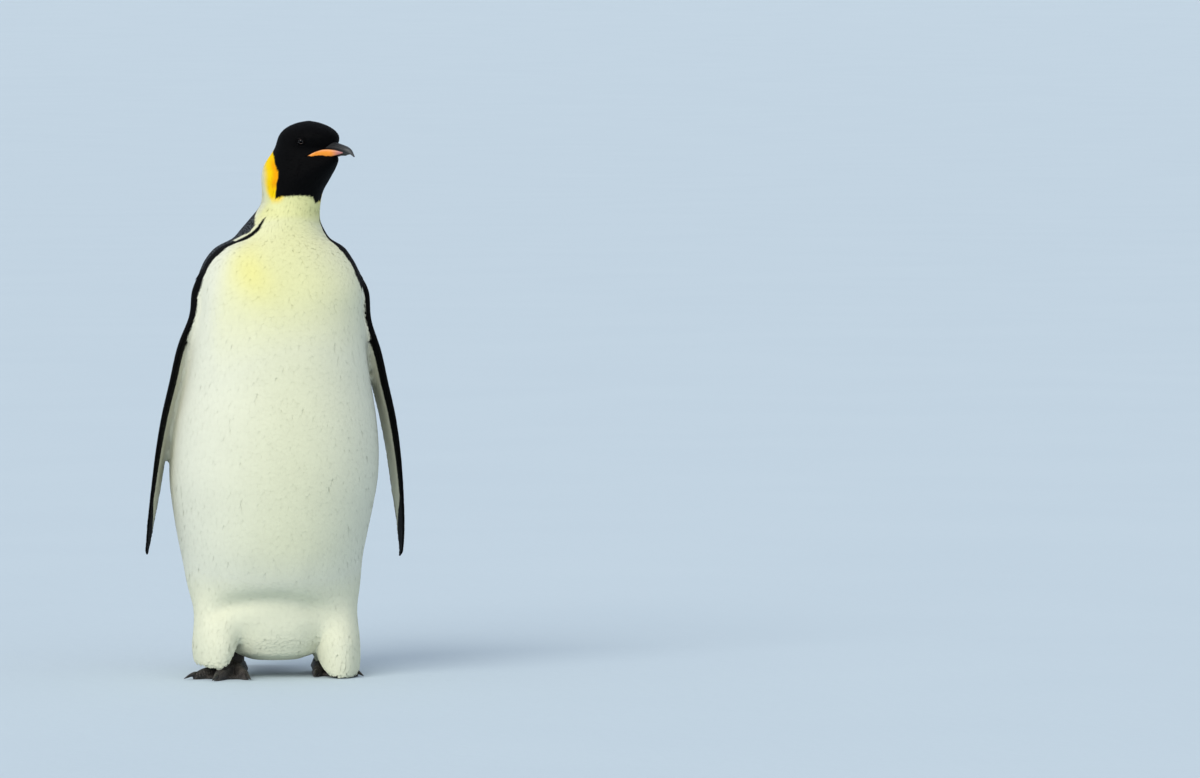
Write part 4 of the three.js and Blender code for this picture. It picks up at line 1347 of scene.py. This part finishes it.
def turned(name, profile, sides=48):
    """A closed form turned about an eye's axis, from (reach, height) pairs, front to back."""
    centre, out, ahead, up = EYES[name]
    reach, height = np.array(profile).T[:, :, None]
    turn = circle(sides)[None, :]
    points, faces = loft(*(centre[axis] + height * out[axis] + reach * np.cos(turn) * ahead[axis]
                           + reach * np.sin(turn) * up[axis] for axis in range(3)))
    a, b, c = points[faces[0]]
    facing = np.cross(b - a, c - a).dot(a - centre)
    marks = {"reach": np.append(np.repeat(reach[:, 0], sides), (0, 0)),
             "turn": np.append(np.tile(circle(sides), len(reach)), (0, 0))}
    return points, faces if facing > 0 else faces[:, ::-1], marks


def on_ball(reach, radius=EYE_RADIUS):
    return reach, math.sqrt(max(radius ** 2 - reach ** 2, 0))


for name in EYES:
    well = on_ball(IRIS_REACH)[1]
    iris_profile = [(0.4, well - 1.6), (PUPIL_REACH - 0.1, well - 1.5), (PUPIL_REACH, well - 0.9),
                    (3.4, well - 0.55), (4.4, well - 0.25), (IRIS_REACH, well)]
    outside = [on_ball(r) for r in (5.8, 6.6, 7.6, 8.6, 9.2, 9.5)]
    behind = [(r, -h) for r, h in outside[::-1]]
    points, faces, marks = turned(name, iris_profile + outside + behind[1:] + [(0.5, -9.4)])
    piece = made("eyeball_" + name, points, faces, eye_ball, "eye", ("eye_" + name,))
    place_marks(piece, **marks)
    crest = on_ball(0)[1] + CORNEA_BULGE
    dome = [(r, well + 0.02 + (crest - well) * (1 - (r / 5.5) ** 2) ** 0.8)
            for r in np.linspace(0.3, 5.4, 14)]
    under = [(r, h - 0.35) for r, h in dome[::-1]]
    points, faces, marks = turned(name, dome + under)
    made("cornea_" + name, points, faces, cornea, "eye")

# ---- feet and claws --------------------------------------------------------------------------
# Short thick feet in black leathery skin, covered in small scales, flat underneath. Each toe
# ends in a strong curved claw of dark horn.

FOOT_VOXEL = 1.7
SOLE = 1.3                      # skin this near the floor lies flat on it
foot_skin, foot_shader, s = finish_of("foot_skin", 0.55)
place = s.make("ShaderNodeTexCoord", out="Object")
scales = s.make("ShaderNodeTexVoronoi", {"feature": "DISTANCE_TO_EDGE"},
                {"Vector": place, "Scale": 210.0})
small = s.make("ShaderNodeTexVoronoi", {"feature": "DISTANCE_TO_EDGE"},
               {"Vector": place, "Scale": 430.0})
bands = (s.mark("reach") * 1.25).wave()
ground = scales.step(0.0, 0.16)
foot_colour = ground.between((0.012, 0.010, 0.008, 1), (0.050, 0.041, 0.034, 1))
foot_colour = (s.noise(45.0).step(0.50, 0.72) * 0.55).between(foot_colour, (0.10, 0.085, 0.07, 1))
feed(foot_shader, "Base Color", foot_colour)
feed(foot_shader, "Roughness", s.noise(80.0) * 0.25 + 0.40)
relief = ground + small.step(0.0, 0.15) * 0.35 + bands * 0.45
feed(foot_shader, "Normal", s.lump(relief, 0.75, 0.0011))
claw_horn, claw_shader, s = finish_of("claw_horn", 0.32)
streaks = s.noise(150.0, 4.0)
claw_colour = streaks.step(0.4, 0.7).between((0.010, 0.009, 0.008, 1), (0.045, 0.038, 0.032, 1))
feed(claw_shader, "Base Color", claw_colour)
feed(claw_shader, "Roughness", streaks * 0.25 + 0.22)
feed(claw_shader, "Normal", s.lump(streaks, 0.3, 0.0004))


def finer(name, nodes, material, slot):
    """A copy of some of the bird's hard parts as one piece, to be made finer."""
    piece = made(name, *hard_parts(*nodes), material, slot, nodes)
    grid = bmesh.new()
    grid.from_mesh(piece.data)
    bmesh.ops.remove_doubles(grid, verts=grid.verts, dist=0.02 * MM)
    grid.to_mesh(piece.data)
    grid.free()
    return piece


for name, ankle in (("right", (-79, -22)), ("left", (90, 14))):
    foot = finer("foot_" + name + "_skin", ("foot_" + name,), foot_skin, "foot_skin")
    applied(foot, "REMESH", mode="VOXEL", voxel_size=FOOT_VOXEL * MM)
    foot_web = Web(foot.data)
    foot_web.relax(5)
    foot_web.points[:, 2] = np.where(foot_web.points[:, 2] < SOLE, 0, foot_web.points[:, 2])
    set_places(foot.data, foot_web.points)
    foot.data.materials.clear()
    foot.data.materials.append(foot_skin)
    foot.data.shade_smooth()
    from_ankle = np.linalg.norm(foot_web.points[:, :2] - np.array(ankle), axis=1)
    place_marks(foot, reach=from_ankle)
    claws = tuple(f"claw_{name}_{toe}" for toe in ("inner", "middle", "outer"))
    claw = finer("claws_" + name, claws, claw_horn, "claw")
    applied(claw, "SUBSURF", levels=3)
    claw.data.shade_smooth()
